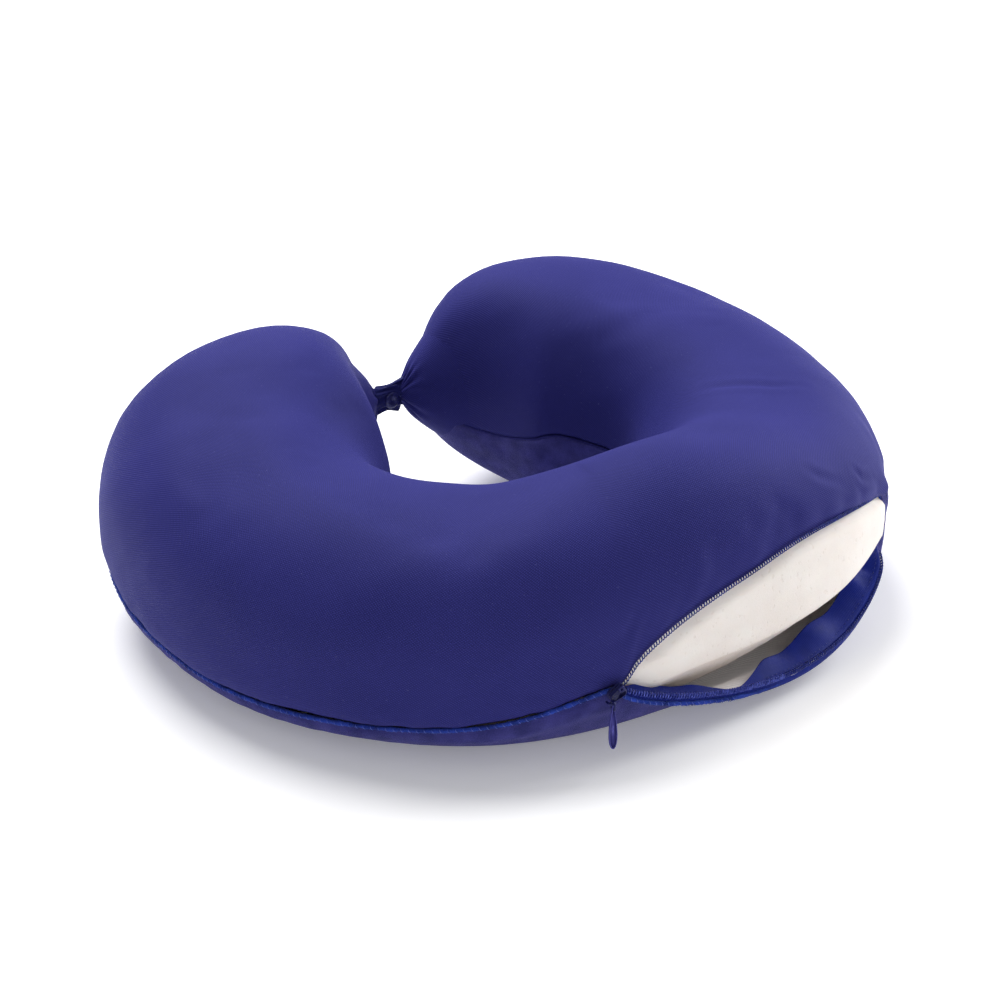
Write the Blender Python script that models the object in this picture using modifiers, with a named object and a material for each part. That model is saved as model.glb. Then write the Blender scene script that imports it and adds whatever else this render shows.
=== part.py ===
"""U-shaped neck pillow: a moulded foam core in a zipped stretch cover, with a snapped front closure.

World frame, metres: +Z up, the base rests on z = 0, the nape is at -Y and the two arm tips face each
other at +Y.  Places on the pillow are given by u, from -1 at the left arm's tip to +1 at the right
arm's tip, and by a section angle in degrees: 0 on the outer wall, 90 on top, 180 on the inner wall.
"""
import math

import bmesh
import bpy
import numpy as np
from mathutils import Matrix, Vector

# ---- driving dimensions: the pillow's body ----
ARC_CENTRE_Y = 0.0145                                   # centre of the U, so the whole box is centred
ARM_SWEEP = 170.2                                       # degrees from the nape to each arm's tip
OUTER_RADII = (0.1340, 0.1468, 0.1522, 0.1545, 0.1120)  # nape, shoulder, middle, arm, tip
INNER_RADII = (0.0574, 0.0504, 0.0554, 0.0441, 0.0584)
TOP_HEIGHTS = (0.0951, 0.0845, 0.0885, 0.1015, 0.1200)
BASE_HEIGHTS = (0.0010, 0.0, 0.0, 0.0045, 0.0070)
TIP_START = 0.72                                        # u at which an arm starts to round off
TIP_ROUNDNESS = 1.9
MID_HEIGHT = 0.42                                       # widest level, as a share of the height
TOP_FULLNESS = 2.37                                     # superellipse exponents of the section
BASE_FULLNESS = 2.60
FOAM_BASE_FULLNESS = 1.95
TOP_LEAN = -0.075
BASE_FLAT = 0.002                                       # how deep the base is pressed flat
POLE = 0.9995                                           # beyond this u the skin faces along the arm

# ---- layers, from the outside in ----
COVER_THICKNESS = 0.0012
GAP = 0.0003
TAPE_DEPTH = COVER_THICKNESS + 1.5 * GAP
TAPE_THICKNESS = 0.0006
FOAM_DEPTH = TAPE_DEPTH + TAPE_THICKNESS + 2 * GAP

# ---- seams and the zip's mouth ----
INNER_SEAM = 176.5
INNER_SEAM_DIP = 20.0                                   # how far it falls towards each tip
INNER_SEAM_TURNS = (115.0, 165.0)                       # degrees about the centre where it does
OUTER_SEAM = -21.0
ARM_SEAM_RISE = 8.0
ARM_SEAM_TURNS = (70.0, 120.0)
SEAM_EASE_LEFT = 15.0                                   # degrees over which it meets the mouth's ends
SEAM_EASE_RIGHT = 22.0
MOUTH_START = -19.5                                     # degrees about the centre, at the slider
MOUTH_END = 46.5                                        # at the corner where the zip ends
MOUTH_START_ANGLE = -8.5                                # section angles of those two ends
MOUTH_END_ANGLE = 13.0
MOUTH_RISE = 18.5                                       # how far the upper edge arches up
MOUTH_RISE_SHAPE = 0.85
MOUTH_SKEW = 1.25                                       # above 1, both edges gape most past the middle
BASE_EDGE_DROP = 52.0                                   # how far the base panel's edge falls away
BASE_EDGE_SHAPE = 0.5
LIP_REACH = 0.035                                       # the lower lip hangs this far off the chord
LIP_SHAPE = 0.6
LIP_SLOPE = math.radians(-58.0)
LIP_DROP = 0.0032                                       # from the lower teeth to the lip fabric
LIP_SAG = 0.0016
LIP_ENDS = (0.05, 0.95)                                 # shares of the mouth
SEAM_EDGE = 1.1                                         # degrees from a seam to its panels' edges
SEAM_TIP_SCALE = 0.6                                    # below this tip scale that angle widens
EDGE_CLEAR = 2.6                                        # degrees from the upper coil to the cover
EDGE_EASE = 3.0                                         # degrees over which that clearance closes

# ---- zip hardware ----
COIL_RADIUS = 0.0008
COIL_ENDS = (0.04, 0.96)
ZIP_TRAVEL_END = 0.96                                   # share of the mouth at which the slider stops
MID_STANDOFF = 0.0010
TAPE_WIDTH = 0.0100
TAPE_ENDS = (0.14, 0.90)
TAPE_SHAPE = 1.2
TAPE_ROLL = 0.8                                         # share of its width rolled back to the teeth
TAPE_ROLL_PLACE = 0.27
TAPE_ROLL_SPAN = 0.06
TAPE_ANGLE = 8.0                                        # degrees of section under the cover's edge
TAPE_ANGLE_SHAPE = 0.4
TAPE_CURL = 0.0016                                      # how far the lower tape's free edge lifts
SLIDER_SIZE = (0.0090, 0.0064, 0.0032)                  # along the zip, across it, thick
SLIDER_TAPER = 0.62
SLIDER_EDGE = 0.0007
SLIDER_STANDOFF = 0.0032
SLIDER_BACK = 0.026                                     # share of the mouth behind its first point
SLIDER_TILT = math.radians(30.0)                        # its front points between the two lips
BAIL_WIRE = 0.0004
BAIL_WIDTH = 0.0030
BAIL_HEIGHT = 0.0022
BAIL_DROP = 0.0008
BAIL_BACK = 0.0022
LINK_RADIUS = 0.0016
LINK_WIRE = 0.00035
PULLER_LENGTH = 0.0175
PULLER_WIDTH = 0.0042
PULLER_THICKNESS = 0.0011
PULLER_EYE = 0.0008
PULLER_TOP = 0.0019
PULLER_NECK = 0.55                                      # its fullness at the eye, as a share
STOP_SIZE = (0.0012, 0.0030, 0.0046)                    # thick, across the corner, tall
STOP_STANDOFF = 0.0012
STOP_EDGE = 0.0003

# ---- front closure ----
STRAP_HEIGHT = 0.0150
STRAP_WAIST = 0.08                                      # half the share of its height lost midway
STRAP_THICKNESS = 0.0018
STRAP_OVERLAP = 0.0055                                  # how far each strap passes the middle
STRAP_OFFSET = 0.0019                                   # each strap's distance from the middle plane
STRAP_SPREAD = 2.7                                      # how soon a strap reaches that distance
STRAP_ROOT_GAP = 0.0022
SNAP_RADIUS = 0.0044
SNAP_PLATE = 0.0010
STUD_RADIUS = 0.0016

# ---- mesh density ----
BODY_STEPS = 26
TIP_STEPS = 6
TIP_LAST_TURN = math.radians(86.5)
MOUTH_STEPS = 14
TOP_STEPS = 14
BASE_STEPS = 11
FOAM_STEPS = 24
LIP_STEPS = 26
LINK_STEPS = 16
WIRE_STEPS = 6
PULLER_STEPS = 28
STRAP_STEPS = 8
SNAP_STEPS = 20
STATION_CLEAR = 0.3                                     # least room beside the mouth, in body steps

UP = Vector((0.0, 0.0, 1.0))
FORWARD = Vector((0.0, 1.0, 0.0))                       # from the nape to the arm tips
COLOURS = {
    "cover_knit": (0.036, 0.038, 0.160),
    "base_velour": (0.050, 0.046, 0.190),
    "zip_tape": (0.013, 0.020, 0.160),
    "zip_nylon": (0.018, 0.020, 0.150),
    "zip_metal": (0.040, 0.040, 0.130),
    "foam": (0.860, 0.800, 0.760),
    "strap_knit": (0.020, 0.020, 0.110),
    "snap": (0.030, 0.030, 0.120),
}


# ---- scene helpers ----
def clear_scene():
    for obj in list(bpy.data.objects):
        bpy.data.objects.remove(obj, do_unlink=True)


def new_collection(name):
    collection = bpy.data.collections.new(name)
    bpy.context.scene.collection.children.link(collection)
    return collection


def new_material(name, roughness, metallic=0.0):
    material = bpy.data.materials.new(name)
    material.use_nodes = True
    shader = material.node_tree.nodes["Principled BSDF"]
    shader.inputs["Base Color"].default_value = (*COLOURS[name], 1.0)
    shader.inputs["Roughness"].default_value = roughness
    shader.inputs["Metallic"].default_value = metallic
    material.diffuse_color = (*COLOURS[name], 1.0)
    return material


def add_object(name, data, material, parent):
    obj = bpy.data.objects.new(name, data)
    PARTS.objects.link(obj)
    obj.parent = parent
    data.materials.append(material)
    return obj


def add_empty(name, location, parent=None):
    empty = bpy.data.objects.new(name, None)
    empty.location = location
    empty.empty_display_size = 0.01
    PARTS.objects.link(empty)
    empty.parent = parent
    return empty


def mesh_from_bmesh(name, bm):
    bmesh.ops.recalc_face_normals(bm, faces=bm.faces)
    mesh = bpy.data.meshes.new(name)
    bm.to_mesh(mesh)
    bm.free()
    mesh.shade_smooth()
    return mesh


def bevel(obj, width, segments=2):
    modifier = obj.modifiers.new("edges", "BEVEL")
    modifier.width = width
    modifier.segments = segments
    modifier.limit_method = "ANGLE"


# ---- the pillow's skin ----
def along_arm(values, u):
    """Smooth curve through five even stations from the nape to a tip, mirrored at the nape."""
    last = len(values) - 1
    place = abs(u) * last
    start = min(int(place), last - 1)
    share = place - start
    before = values[abs(start - 1)]
    here, there = values[start], values[start + 1]
    after = values[start + 2] if start + 2 <= last else 2 * there - here
    slope_in = (there - before) / 2
    slope_out = (after - here) / 2
    bend = 2 * (here - there) + slope_in + slope_out
    turn = 3 * (there - here) - 2 * slope_in - slope_out
    return here + share * (slope_in + share * (turn + share * bend))


def signed_power(value, power):
    return math.copysign(abs(value) ** power, value)


def tip_scale(u):
    reach = min(max((abs(u) - TIP_START) / (1 - TIP_START), 0.0), 1.0)
    return max(1 - reach ** TIP_ROUNDNESS, 0.0) ** (1 / TIP_ROUNDNESS)


def raw_skin(u, angle, base_fullness):
    """Point of the unpressed outer surface, about the centre of the U."""
    outer, inner = along_arm(OUTER_RADII, u), along_arm(INNER_RADII, u)
    top, base = along_arm(TOP_HEIGHTS, u), along_arm(BASE_HEIGHTS, u)
    scale = tip_scale(u)
    middle = base + (top - base) * MID_HEIGHT
    turn = math.radians(angle)
    upper = math.sin(turn) >= 0
    power = 2 / (TOP_FULLNESS if upper else base_fullness)
    across = signed_power(math.cos(turn), power)
    rise = signed_power(math.sin(turn), power)
    height = (top - middle) if upper else (middle - base)
    lean = TOP_LEAN * max(rise, 0.0) * (1 - across * across)
    radius = (outer + inner) / 2 + (outer - inner) / 2 * scale * (across + lean)
    sweep = math.radians(ARM_SWEEP) * u
    return Vector((radius * math.sin(sweep), -radius * math.cos(sweep), middle + height * scale * rise))


def skin_normal(u, angle, base_fullness=BASE_FULLNESS):
    if abs(u) > POLE:
        sweep = math.radians(ARM_SWEEP) * u
        return Vector((math.cos(sweep), math.sin(sweep), 0.0)) * math.copysign(1.0, u)
    small_u, small_angle = 2e-4, 0.05
    along = raw_skin(u + small_u, angle, base_fullness) - raw_skin(u - small_u, angle, base_fullness)
    around = (raw_skin(u, angle + small_angle, base_fullness)
              - raw_skin(u, angle - small_angle, base_fullness))
    return along.cross(around).normalized()


def skin(u, angle, depth=0.0, base_fullness=BASE_FULLNESS):
    """Point at a depth below the outer surface, with the base pressed flat."""
    point = raw_skin(u, angle, base_fullness) - depth * skin_normal(u, angle, base_fullness)
    point.z = max(point.z - BASE_FLAT, depth)
    return point


# ---- seam and mouth lines ----
def eased(value, start, end):
    """Smooth step from 0 at start to 1 at end."""
    share = min(max((value - start) / (end - start), 0.0), 1.0)
    return share * share * (3 - 2 * share)


def mouth_share(sweep):
    return (sweep - MOUTH_START) / (MOUTH_END - MOUTH_START)


def mouth_u(share):
    return (MOUTH_START + share * (MOUTH_END - MOUTH_START)) / ARM_SWEEP


def mouth_base_angle(share):
    return MOUTH_START_ANGLE + share * (MOUTH_END_ANGLE - MOUTH_START_ANGLE)


def seam_angle(sweep):
    """Outer seam: it rises to the mouth's two ends and a little along the arms."""
    level = OUTER_SEAM + ARM_SEAM_RISE * eased(abs(sweep), *ARM_SEAM_TURNS)
    if sweep < MOUTH_START:
        near = math.exp(-((sweep - MOUTH_START) / SEAM_EASE_LEFT) ** 2)
        return level + (MOUTH_START_ANGLE - level) * near
    near = math.exp(-((sweep - MOUTH_END) / SEAM_EASE_RIGHT) ** 2)
    return level + (MOUTH_END_ANGLE - level) * near


def inner_seam_angle(sweep):
    return INNER_SEAM + INNER_SEAM_DIP * eased(abs(sweep), *INNER_SEAM_TURNS)


def upper_edge(share):
    arch = max(math.sin(math.pi * share ** MOUTH_SKEW), 0.0) ** MOUTH_RISE_SHAPE
    return mouth_base_angle(share) + MOUTH_RISE * arch


def base_edge(share):
    arch = max(math.sin(math.pi * share), 0.0) ** BASE_EDGE_SHAPE
    return mouth_base_angle(share) - BASE_EDGE_DROP * arch


def seam_edge(u):
    """Half the angle between joined panels, wider where the section shrinks at a tip."""
    if tip_scale(u) <= 0:
        return SEAM_EDGE
    return max(SEAM_EDGE, SEAM_EDGE * SEAM_TIP_SCALE / tip_scale(u))


def cover_edge(u):
    share = mouth_share(u * ARM_SWEEP)
    if 0 < share < 1:
        return upper_edge(share) + EDGE_CLEAR
    near = min(abs(share), abs(share - 1)) * (MOUTH_END - MOUTH_START)
    clear = (EDGE_CLEAR - SEAM_EDGE) * math.exp(-near / EDGE_EASE)
    return seam_angle(u * ARM_SWEEP) + seam_edge(u) + clear


def panel_edge(u):
    share = mouth_share(u * ARM_SWEEP)
    if 0 < share < 1:
        return base_edge(share) - SEAM_EDGE
    return seam_angle(u * ARM_SWEEP) - seam_edge(u)


def lip_frame():
    start = skin(mouth_u(0), MOUTH_START_ANGLE)
    end = skin(mouth_u(1), MOUTH_END_ANGLE)
    along = (end - start).normalized()
    out = Vector((along.y, -along.x, 0.0)).normalized()
    return start, end, out, out.cross(along)


def lip_point(share, inward=0.0, drop=0.0):
    """Point on the lower lip's free edge, moved inward to the pillow and down by two lengths."""
    start, end, out, up = lip_frame()
    reach = LIP_REACH * max(math.sin(math.pi * share ** MOUTH_SKEW), 0.0) ** LIP_SHAPE
    point = start.lerp(end, share) + out * math.cos(LIP_SLOPE) * reach + up * math.sin(LIP_SLOPE) * reach
    flat = Vector((point.x, point.y, 0.0)).normalized()
    return point - flat * inward - Vector((0.0, 0.0, drop))


def tape_width(share):
    """The lower tape is narrow at its ends and rolled back to its teeth at one place."""
    rolled = 1 - TAPE_ROLL * math.exp(-((share - TAPE_ROLL_PLACE) / TAPE_ROLL_SPAN) ** 2)
    return COIL_RADIUS + 2 * GAP + TAPE_WIDTH * math.sin(math.pi * share) ** TAPE_SHAPE * rolled


# ---- mesh builders ----
def mouth_shares():
    return [(1 - math.cos(math.pi * step / MOUTH_STEPS)) / 2 for step in range(MOUTH_STEPS + 1)]


def stations():
    """Values of u, closer together at the mouth's two ends and where the tips round off."""
    body = np.linspace(-TIP_START, TIP_START, BODY_STEPS + 1)
    clear = STATION_CLEAR * (body[1] - body[0])
    body = [u for u in body if not mouth_u(0) - clear < u < mouth_u(1) + clear]
    mouth = [mouth_u(share) for share in mouth_shares()]
    turns = [math.pi / 2 * step / TIP_STEPS for step in range(1, TIP_STEPS + 1)]
    turns.insert(TIP_STEPS - 1, TIP_LAST_TURN)
    tip = [TIP_START + (1 - TIP_START) * math.sin(turn) ** (2 / TIP_ROUNDNESS) for turn in turns]
    return sorted([-u for u in tip] + body + mouth + tip)


def sheet_mesh(name, rows):
    """Open sheet through rows of points; rows that shrink to a point are welded."""
    bm = bmesh.new()
    grid = [[bm.verts.new(point) for point in row] for row in rows]
    for row, following in zip(grid, grid[1:]):
        for a, b, c, d in zip(row, row[1:], following[1:], following):
            bm.faces.new((a, b, c, d))
    bmesh.ops.remove_doubles(bm, verts=bm.verts, dist=1e-6)
    return bm


def face_outward(bm, inside):
    bm.normal_update()
    total = sum(face.normal.dot(face.calc_center_median() - inside(face)) for face in bm.faces)
    if total < 0:
        bmesh.ops.reverse_faces(bm, faces=bm.faces)


def section_middle(face):
    """Point inside the pillow's section, level with a face's own place round the U."""
    centre = face.calc_center_median()
    middle = (OUTER_RADII[0] + INNER_RADII[0]) / 2
    flat = Vector((centre.x, centre.y, 0.0)).normalized() * middle
    return Vector((flat.x, flat.y, TOP_HEIGHTS[0] / 2))


def solidify(obj, thickness, offset=-1.0):
    modifier = obj.modifiers.new("thickness", "SOLIDIFY")
    modifier.thickness = thickness
    modifier.offset = offset


def sheet_object(name, rows, thickness, material, parent, offset=-1.0, inside=section_middle):
    bm = sheet_mesh(name, rows)
    face_outward(bm, inside)
    mesh = bpy.data.meshes.new(name)
    bm.to_mesh(mesh)
    bm.free()
    mesh.shade_smooth()
    obj = add_object(name, mesh, material, parent)
    solidify(obj, thickness, offset)
    return obj


def tube(name, points, radius, material, parent):
    curve = bpy.data.curves.new(name, "CURVE")
    curve.dimensions = "3D"
    curve.bevel_depth = radius
    curve.bevel_resolution = 1
    curve.use_fill_caps = True
    spline = curve.splines.new("POLY")
    spline.points.add(len(points) - 1)
    for target, point in zip(spline.points, points):
        target.co = (*point, 1.0)
    return add_object(name, curve, material, parent)


def circle_outline(radius, steps):
    """Circle that starts at its top and runs clockwise."""
    turns = [2 * math.pi * step / steps for step in range(steps)]
    return [(radius * math.sin(turn), radius * math.cos(turn)) for turn in turns]


def holed_plate(name, outline, hole, thickness):
    """Flat plate about z = 0 between an outline and a hole that have the same number of points."""
    bm = bmesh.new()
    outer = [bm.verts.new((x, y, -thickness / 2)) for x, y in outline]
    inner = [bm.verts.new((x, y, -thickness / 2)) for x, y in hole]
    for i in range(len(outer)):
        k = (i + 1) % len(outer)
        bm.faces.new((outer[i], outer[k], inner[k], inner[i]))
    lifted = bmesh.ops.extrude_face_region(bm, geom=list(bm.faces))["geom"]
    raised = [item for item in lifted if isinstance(item, bmesh.types.BMVert)]
    bmesh.ops.translate(bm, verts=raised, vec=(0.0, 0.0, thickness))
    return mesh_from_bmesh(name, bm)


def disc(name, radius, thickness):
    bm = bmesh.new()
    bmesh.ops.create_cone(bm, cap_ends=True, segments=SNAP_STEPS, radius1=radius, radius2=radius,
                          depth=thickness)
    return mesh_from_bmesh(name, bm)


# ---- sub-parts: foam and cover ----
def make_foam(parent):
    rows = []
    for u in stations():
        angles = np.linspace(0, 360, FOAM_STEPS, endpoint=False)
        rows.append([skin(u, angle, FOAM_DEPTH, FOAM_BASE_FULLNESS) for angle in angles])
    bm = bmesh.new()
    grid = [[bm.verts.new(point) for point in row] for row in rows]
    for row, following in zip(grid, grid[1:]):
        for j in range(FOAM_STEPS):
            k = (j + 1) % FOAM_STEPS
            bm.faces.new((row[j], row[k], following[k], following[j]))
    bmesh.ops.remove_doubles(bm, verts=bm.verts, dist=1e-6)
    add_object("foam_core", mesh_from_bmesh("foam_core", bm), FOAM, parent)


def make_cover_top(parent):
    rows = []
    for u in stations():
        inner = inner_seam_angle(u * ARM_SWEEP)
        angles = np.linspace(cover_edge(u), inner - seam_edge(u), TOP_STEPS + 1)
        rows.append([skin(u, angle) for angle in angles])
    sheet_object("cover_top", rows, COVER_THICKNESS, KNIT, parent)


def make_cover_base(parent):
    rows = []
    for u in stations()[1:-1]:
        inner = inner_seam_angle(u * ARM_SWEEP)
        angles = np.linspace(inner + seam_edge(u), 360 + panel_edge(u), BASE_STEPS + 1)
        rows.append([skin(u, angle) for angle in angles])
    sheet_object("cover_base", rows, COVER_THICKNESS, VELOUR, parent)


def make_lower_lip(parent):
    """The base panel's loose edge, from the panel out to the lower row of teeth."""
    rows = []
    for share in np.linspace(*LIP_ENDS, LIP_STEPS + 1):
        root = skin(mouth_u(share), base_edge(share) + SEAM_EDGE)
        edge = lip_point(share, drop=LIP_DROP)
        sag = Vector((0.0, 0.0, LIP_SAG * math.sin(math.pi * share)))
        middle = root.lerp(edge, 0.5) - sag
        rows.append([root, root.lerp(middle, 0.6), middle.lerp(edge, 0.4), edge])
    sheet_object("cover_lower_lip", rows, COVER_THICKNESS, VELOUR, parent,
                 inside=lambda face: face.calc_center_median() + UP)


def make_tape_upper(parent):
    rows = []
    for share in mouth_shares()[1:-1]:
        width = TAPE_ANGLE * math.sin(math.pi * share) ** TAPE_ANGLE_SHAPE
        edge = upper_edge(share)
        angles = np.linspace(edge, edge + width, 3)
        rows.append([skin(mouth_u(share), angle, TAPE_DEPTH) for angle in angles])
    sheet_object("zip_tape_upper", rows, TAPE_THICKNESS, TAPE, parent)


def make_tape_lower(parent):
    rows = []
    for share in np.linspace(*TAPE_ENDS, LIP_STEPS + 1):
        inward = np.linspace(COIL_RADIUS + GAP, tape_width(share), 3)
        rows.append([lip_point(share, far, -TAPE_CURL * (far / TAPE_WIDTH) ** 2) for far in inward])
    sheet_object("zip_tape_lower", rows, TAPE_THICKNESS, TAPE, parent,
                 inside=lambda face: face.calc_center_median() - UP)


def make_coils(parent):
    shares = np.linspace(*COIL_ENDS, LIP_STEPS + 5)
    centre_depth = COVER_THICKNESS - COIL_RADIUS - GAP / 2
    upper = [skin(mouth_u(share), upper_edge(share), centre_depth) for share in shares]
    tube("zip_coil_upper", upper, COIL_RADIUS, NYLON, parent)
    tube("zip_coil_lower", [lip_point(share) for share in shares], COIL_RADIUS, NYLON, parent)


def make_corner_stop(parent):
    """Bar tack that closes the zip's far end."""
    u = mouth_u(1)
    centre = skin(u, MOUTH_END_ANGLE, -STOP_STANDOFF)
    bm = bmesh.new()
    bmesh.ops.create_cube(bm, size=1.0, matrix=Matrix.Diagonal((*STOP_SIZE, 1.0)))
    obj = add_object("zip_end_stop", mesh_from_bmesh("zip_end_stop", bm), NYLON, parent)
    obj.location = centre
    obj.rotation_euler = skin_normal(u, MOUTH_END_ANGLE).to_track_quat("X", "Z").to_euler()
    bevel(obj, STOP_EDGE)


# ---- sub-parts: slider and puller ----
def slider_place(share, extra=0.0):
    """Centre of the slider on the closed zip line, standing off the cover."""
    u, angle = mouth_u(share), mouth_base_angle(share)
    normal = skin_normal(u, angle)
    out = Vector((normal.x, normal.y, 0.0)).normalized()
    return skin(u, angle) + out * (SLIDER_STANDOFF + extra), out


def slider_axes():
    """Along the zip, across it, and out of the cover, at rest."""
    _, out = slider_place(-SLIDER_BACK)
    return UP.cross(out).normalized(), UP, out


def circle_centre(a, b, c):
    """Centre and unit normal of the circle through three points."""
    ab, ac = b - a, c - a
    normal = ab.cross(ac)
    offset = normal.cross(ab) * ac.length_squared + ac.cross(normal) * ab.length_squared
    centre = a + offset / (2 * normal.length_squared)
    return centre, normal.normalized()


def turned(axes):
    return Matrix(axes).transposed().to_4x4()


def make_slider(pivot):
    """Tilted slider body, narrow at its rear, with the level bail that carries the puller."""
    length, width, thick = SLIDER_SIZE
    bm = bmesh.new()
    bmesh.ops.create_cube(bm, size=1.0, matrix=Matrix.Diagonal((length, width, thick, 1.0)))
    for vert in bm.verts:
        if vert.co.x < 0:
            vert.co.y *= SLIDER_TAPER
    body = add_object("zip_slider", mesh_from_bmesh("zip_slider", bm), METAL, pivot)
    bevel(body, SLIDER_EDGE, 3)
    centre, _ = slider_place(-SLIDER_BACK)
    place = Matrix.Translation(centre - pivot.location) @ turned(slider_axes())
    body.matrix_local = place @ Matrix.Rotation(SLIDER_TILT, 4, "Z")
    foot, top = thick / 2 + GAP, thick / 2 + BAIL_HEIGHT
    half, bend = BAIL_WIDTH / 2, BAIL_WIRE
    outline = ((-half, foot), (-half, top - bend), (bend - half, top),
               (half - bend, top), (half, top - bend), (half, foot))
    points = [Vector((x - BAIL_BACK, -BAIL_DROP, z)) for x, z in outline]
    bail = tube("zip_slider_bail", points, BAIL_WIRE, METAL, pivot)
    bail.matrix_local = place


def bail_bar():
    """Middle of the bail's bar, which the puller's link hangs on."""
    centre, _ = slider_place(-SLIDER_BACK)
    along, across, out = slider_axes()
    lifted = centre + out * (SLIDER_SIZE[2] / 2 + BAIL_HEIGHT)
    return lifted - across * BAIL_DROP - along * BAIL_BACK


def make_link(hinge, centre):
    """Round wire link, in the plane across the zip."""
    along, across, out = slider_axes()
    bm = bmesh.new()
    rings = []
    for step in range(LINK_STEPS):
        turn = 2 * math.pi * step / LINK_STEPS
        spoke = across * math.cos(turn) + out * math.sin(turn)
        rings.append([])
        for part in range(WIRE_STEPS):
            roll = 2 * math.pi * part / WIRE_STEPS
            reach = LINK_RADIUS + LINK_WIRE * math.cos(roll)
            rings[-1].append(bm.verts.new(spoke * reach + along * LINK_WIRE * math.sin(roll)))
    for i, ring in enumerate(rings):
        following = rings[(i + 1) % LINK_STEPS]
        for j in range(WIRE_STEPS):
            k = (j + 1) % WIRE_STEPS
            bm.faces.new((ring[j], ring[k], following[k], following[j]))
    link = add_object("zip_puller_link", mesh_from_bmesh("zip_puller_link", bm), METAL, hinge)
    link.location = centre


def teardrop():
    """Outline of the puller, hanging down from its eye, widest near its foot."""
    points = []
    for step in range(PULLER_STEPS):
        turn = 2 * math.pi * step / PULLER_STEPS
        drop = (1 - math.cos(turn)) / 2
        width = PULLER_WIDTH / 2 * math.sin(turn) * PULLER_NECK * (1 + drop)
        points.append((width, PULLER_TOP - drop * PULLER_LENGTH))
    return points


def make_puller(hinge):
    """Link round the bail, and the flat teardrop that hangs from it with its face outward."""
    _, across, _ = slider_axes()
    link_centre = -across * (LINK_RADIUS - LINK_WIRE - BAIL_WIRE - GAP)
    make_link(hinge, link_centre)
    eye = circle_outline(PULLER_EYE, PULLER_STEPS)
    puller = add_object("zip_puller", holed_plate("zip_puller", teardrop(), eye, PULLER_THICKNESS),
                        METAL, hinge)
    puller.matrix_local = Matrix.Translation(link_centre - across * LINK_RADIUS) @ turned(slider_axes())


# ---- sub-parts: front closure ----
def strap_root(side):
    """Where a strap leaves its arm, just clear of the cover's tip."""
    tip = skin(side, 0.0)
    return Vector((tip.x - side * STRAP_ROOT_GAP, tip.y, tip.z))


def make_strap(name, side, hinge):
    """Upright band from one arm's tip to just past the middle, waisted like gathered cloth."""
    reach = abs(hinge.location.x) + STRAP_OVERLAP
    rows = []
    for step in range(STRAP_STEPS + 1):
        share = step / STRAP_STEPS
        half = STRAP_HEIGHT / 2 * (1 - STRAP_WAIST * (1 - math.cos(2 * math.pi * share)))
        x = -side * reach * share
        y = side * STRAP_OFFSET * min(share * STRAP_SPREAD, 1.0)
        rows.append([Vector((x, y, half * level)) for level in (-1, -0.5, 0, 0.5, 1)])
    sheet_object(name, rows, STRAP_THICKNESS, STRAP, hinge, 0.0,
                 lambda face: face.calc_center_median() + FORWARD)


def snap_piece(name, mesh, near, far, hinge):
    """Place a disc or ring across the straps' lap, between two distances from their middle plane."""
    piece = add_object(name, mesh, SNAP, hinge)
    piece.location = (-hinge.location.x, (near + far) / 2, 0.0)
    piece.rotation_euler = (math.pi / 2, 0.0, 0.0)


def make_closure(left, right):
    """Two straps that lap at the middle, and the press snap that joins them."""
    make_strap("strap_left", -1, left)
    make_strap("strap_right", 1, right)
    face_in = STRAP_OFFSET - STRAP_THICKNESS / 2 - GAP
    face_out = STRAP_OFFSET + STRAP_THICKNESS / 2 + GAP
    plate_end = face_out + SNAP_PLATE
    snap_piece("snap_post", disc("snap_post", SNAP_RADIUS, SNAP_PLATE), -plate_end, -face_out, left)
    snap_piece("snap_cap", disc("snap_cap", SNAP_RADIUS, SNAP_PLATE), face_out, plate_end, right)
    stud_end = face_in - GAP
    snap_piece("snap_stud", disc("snap_stud", STUD_RADIUS, face_in + stud_end), -face_in, stud_end, left)
    ring_start = 2 * GAP - face_in
    ring = holed_plate("snap_socket", circle_outline(SNAP_RADIUS, SNAP_STEPS),
                       circle_outline(STUD_RADIUS + 2 * GAP, SNAP_STEPS), face_in - ring_start)
    snap_piece("snap_socket", ring, ring_start, face_in, right)


# ---- build ----
clear_scene()
PARTS = new_collection("u_shaped_neck_pillow")
KNIT = new_material("cover_knit", 0.75)
VELOUR = new_material("base_velour", 0.90)
TAPE = new_material("zip_tape", 0.45)
NYLON = new_material("zip_nylon", 0.40)
METAL = new_material("zip_metal", 0.35, 0.6)
FOAM = new_material("foam", 0.65)
STRAP = new_material("strap_knit", 0.60)
SNAP = new_material("snap", 0.35)

centre_of_arc = add_empty("arc_centre", (0.0, ARC_CENTRE_Y, 0.0))
make_foam(centre_of_arc)
make_cover_top(centre_of_arc)
make_cover_base(centre_of_arc)
make_lower_lip(centre_of_arc)
make_tape_upper(centre_of_arc)
make_tape_lower(centre_of_arc)
make_coils(centre_of_arc)
make_corner_stop(centre_of_arc)

path = [slider_place(-SLIDER_BACK)[0], slider_place(0.5, MID_STANDOFF)[0], slider_place(ZIP_TRAVEL_END)[0]]
zip_centre, zip_axis = circle_centre(*path)
zip_pivot = add_empty("zip_pivot", zip_centre, centre_of_arc)
make_slider(zip_pivot)
puller_hinge = add_empty("puller_hinge", bail_bar() - zip_centre, zip_pivot)
make_puller(puller_hinge)

strap_hinges = [add_empty(name, strap_root(side), centre_of_arc)
                for name, side in (("strap_hinge_left", -1), ("strap_hinge_right", 1))]
make_closure(*strap_hinges)
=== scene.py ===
import math

import bpy
import numpy as np
from mathutils import Matrix, Vector


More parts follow.
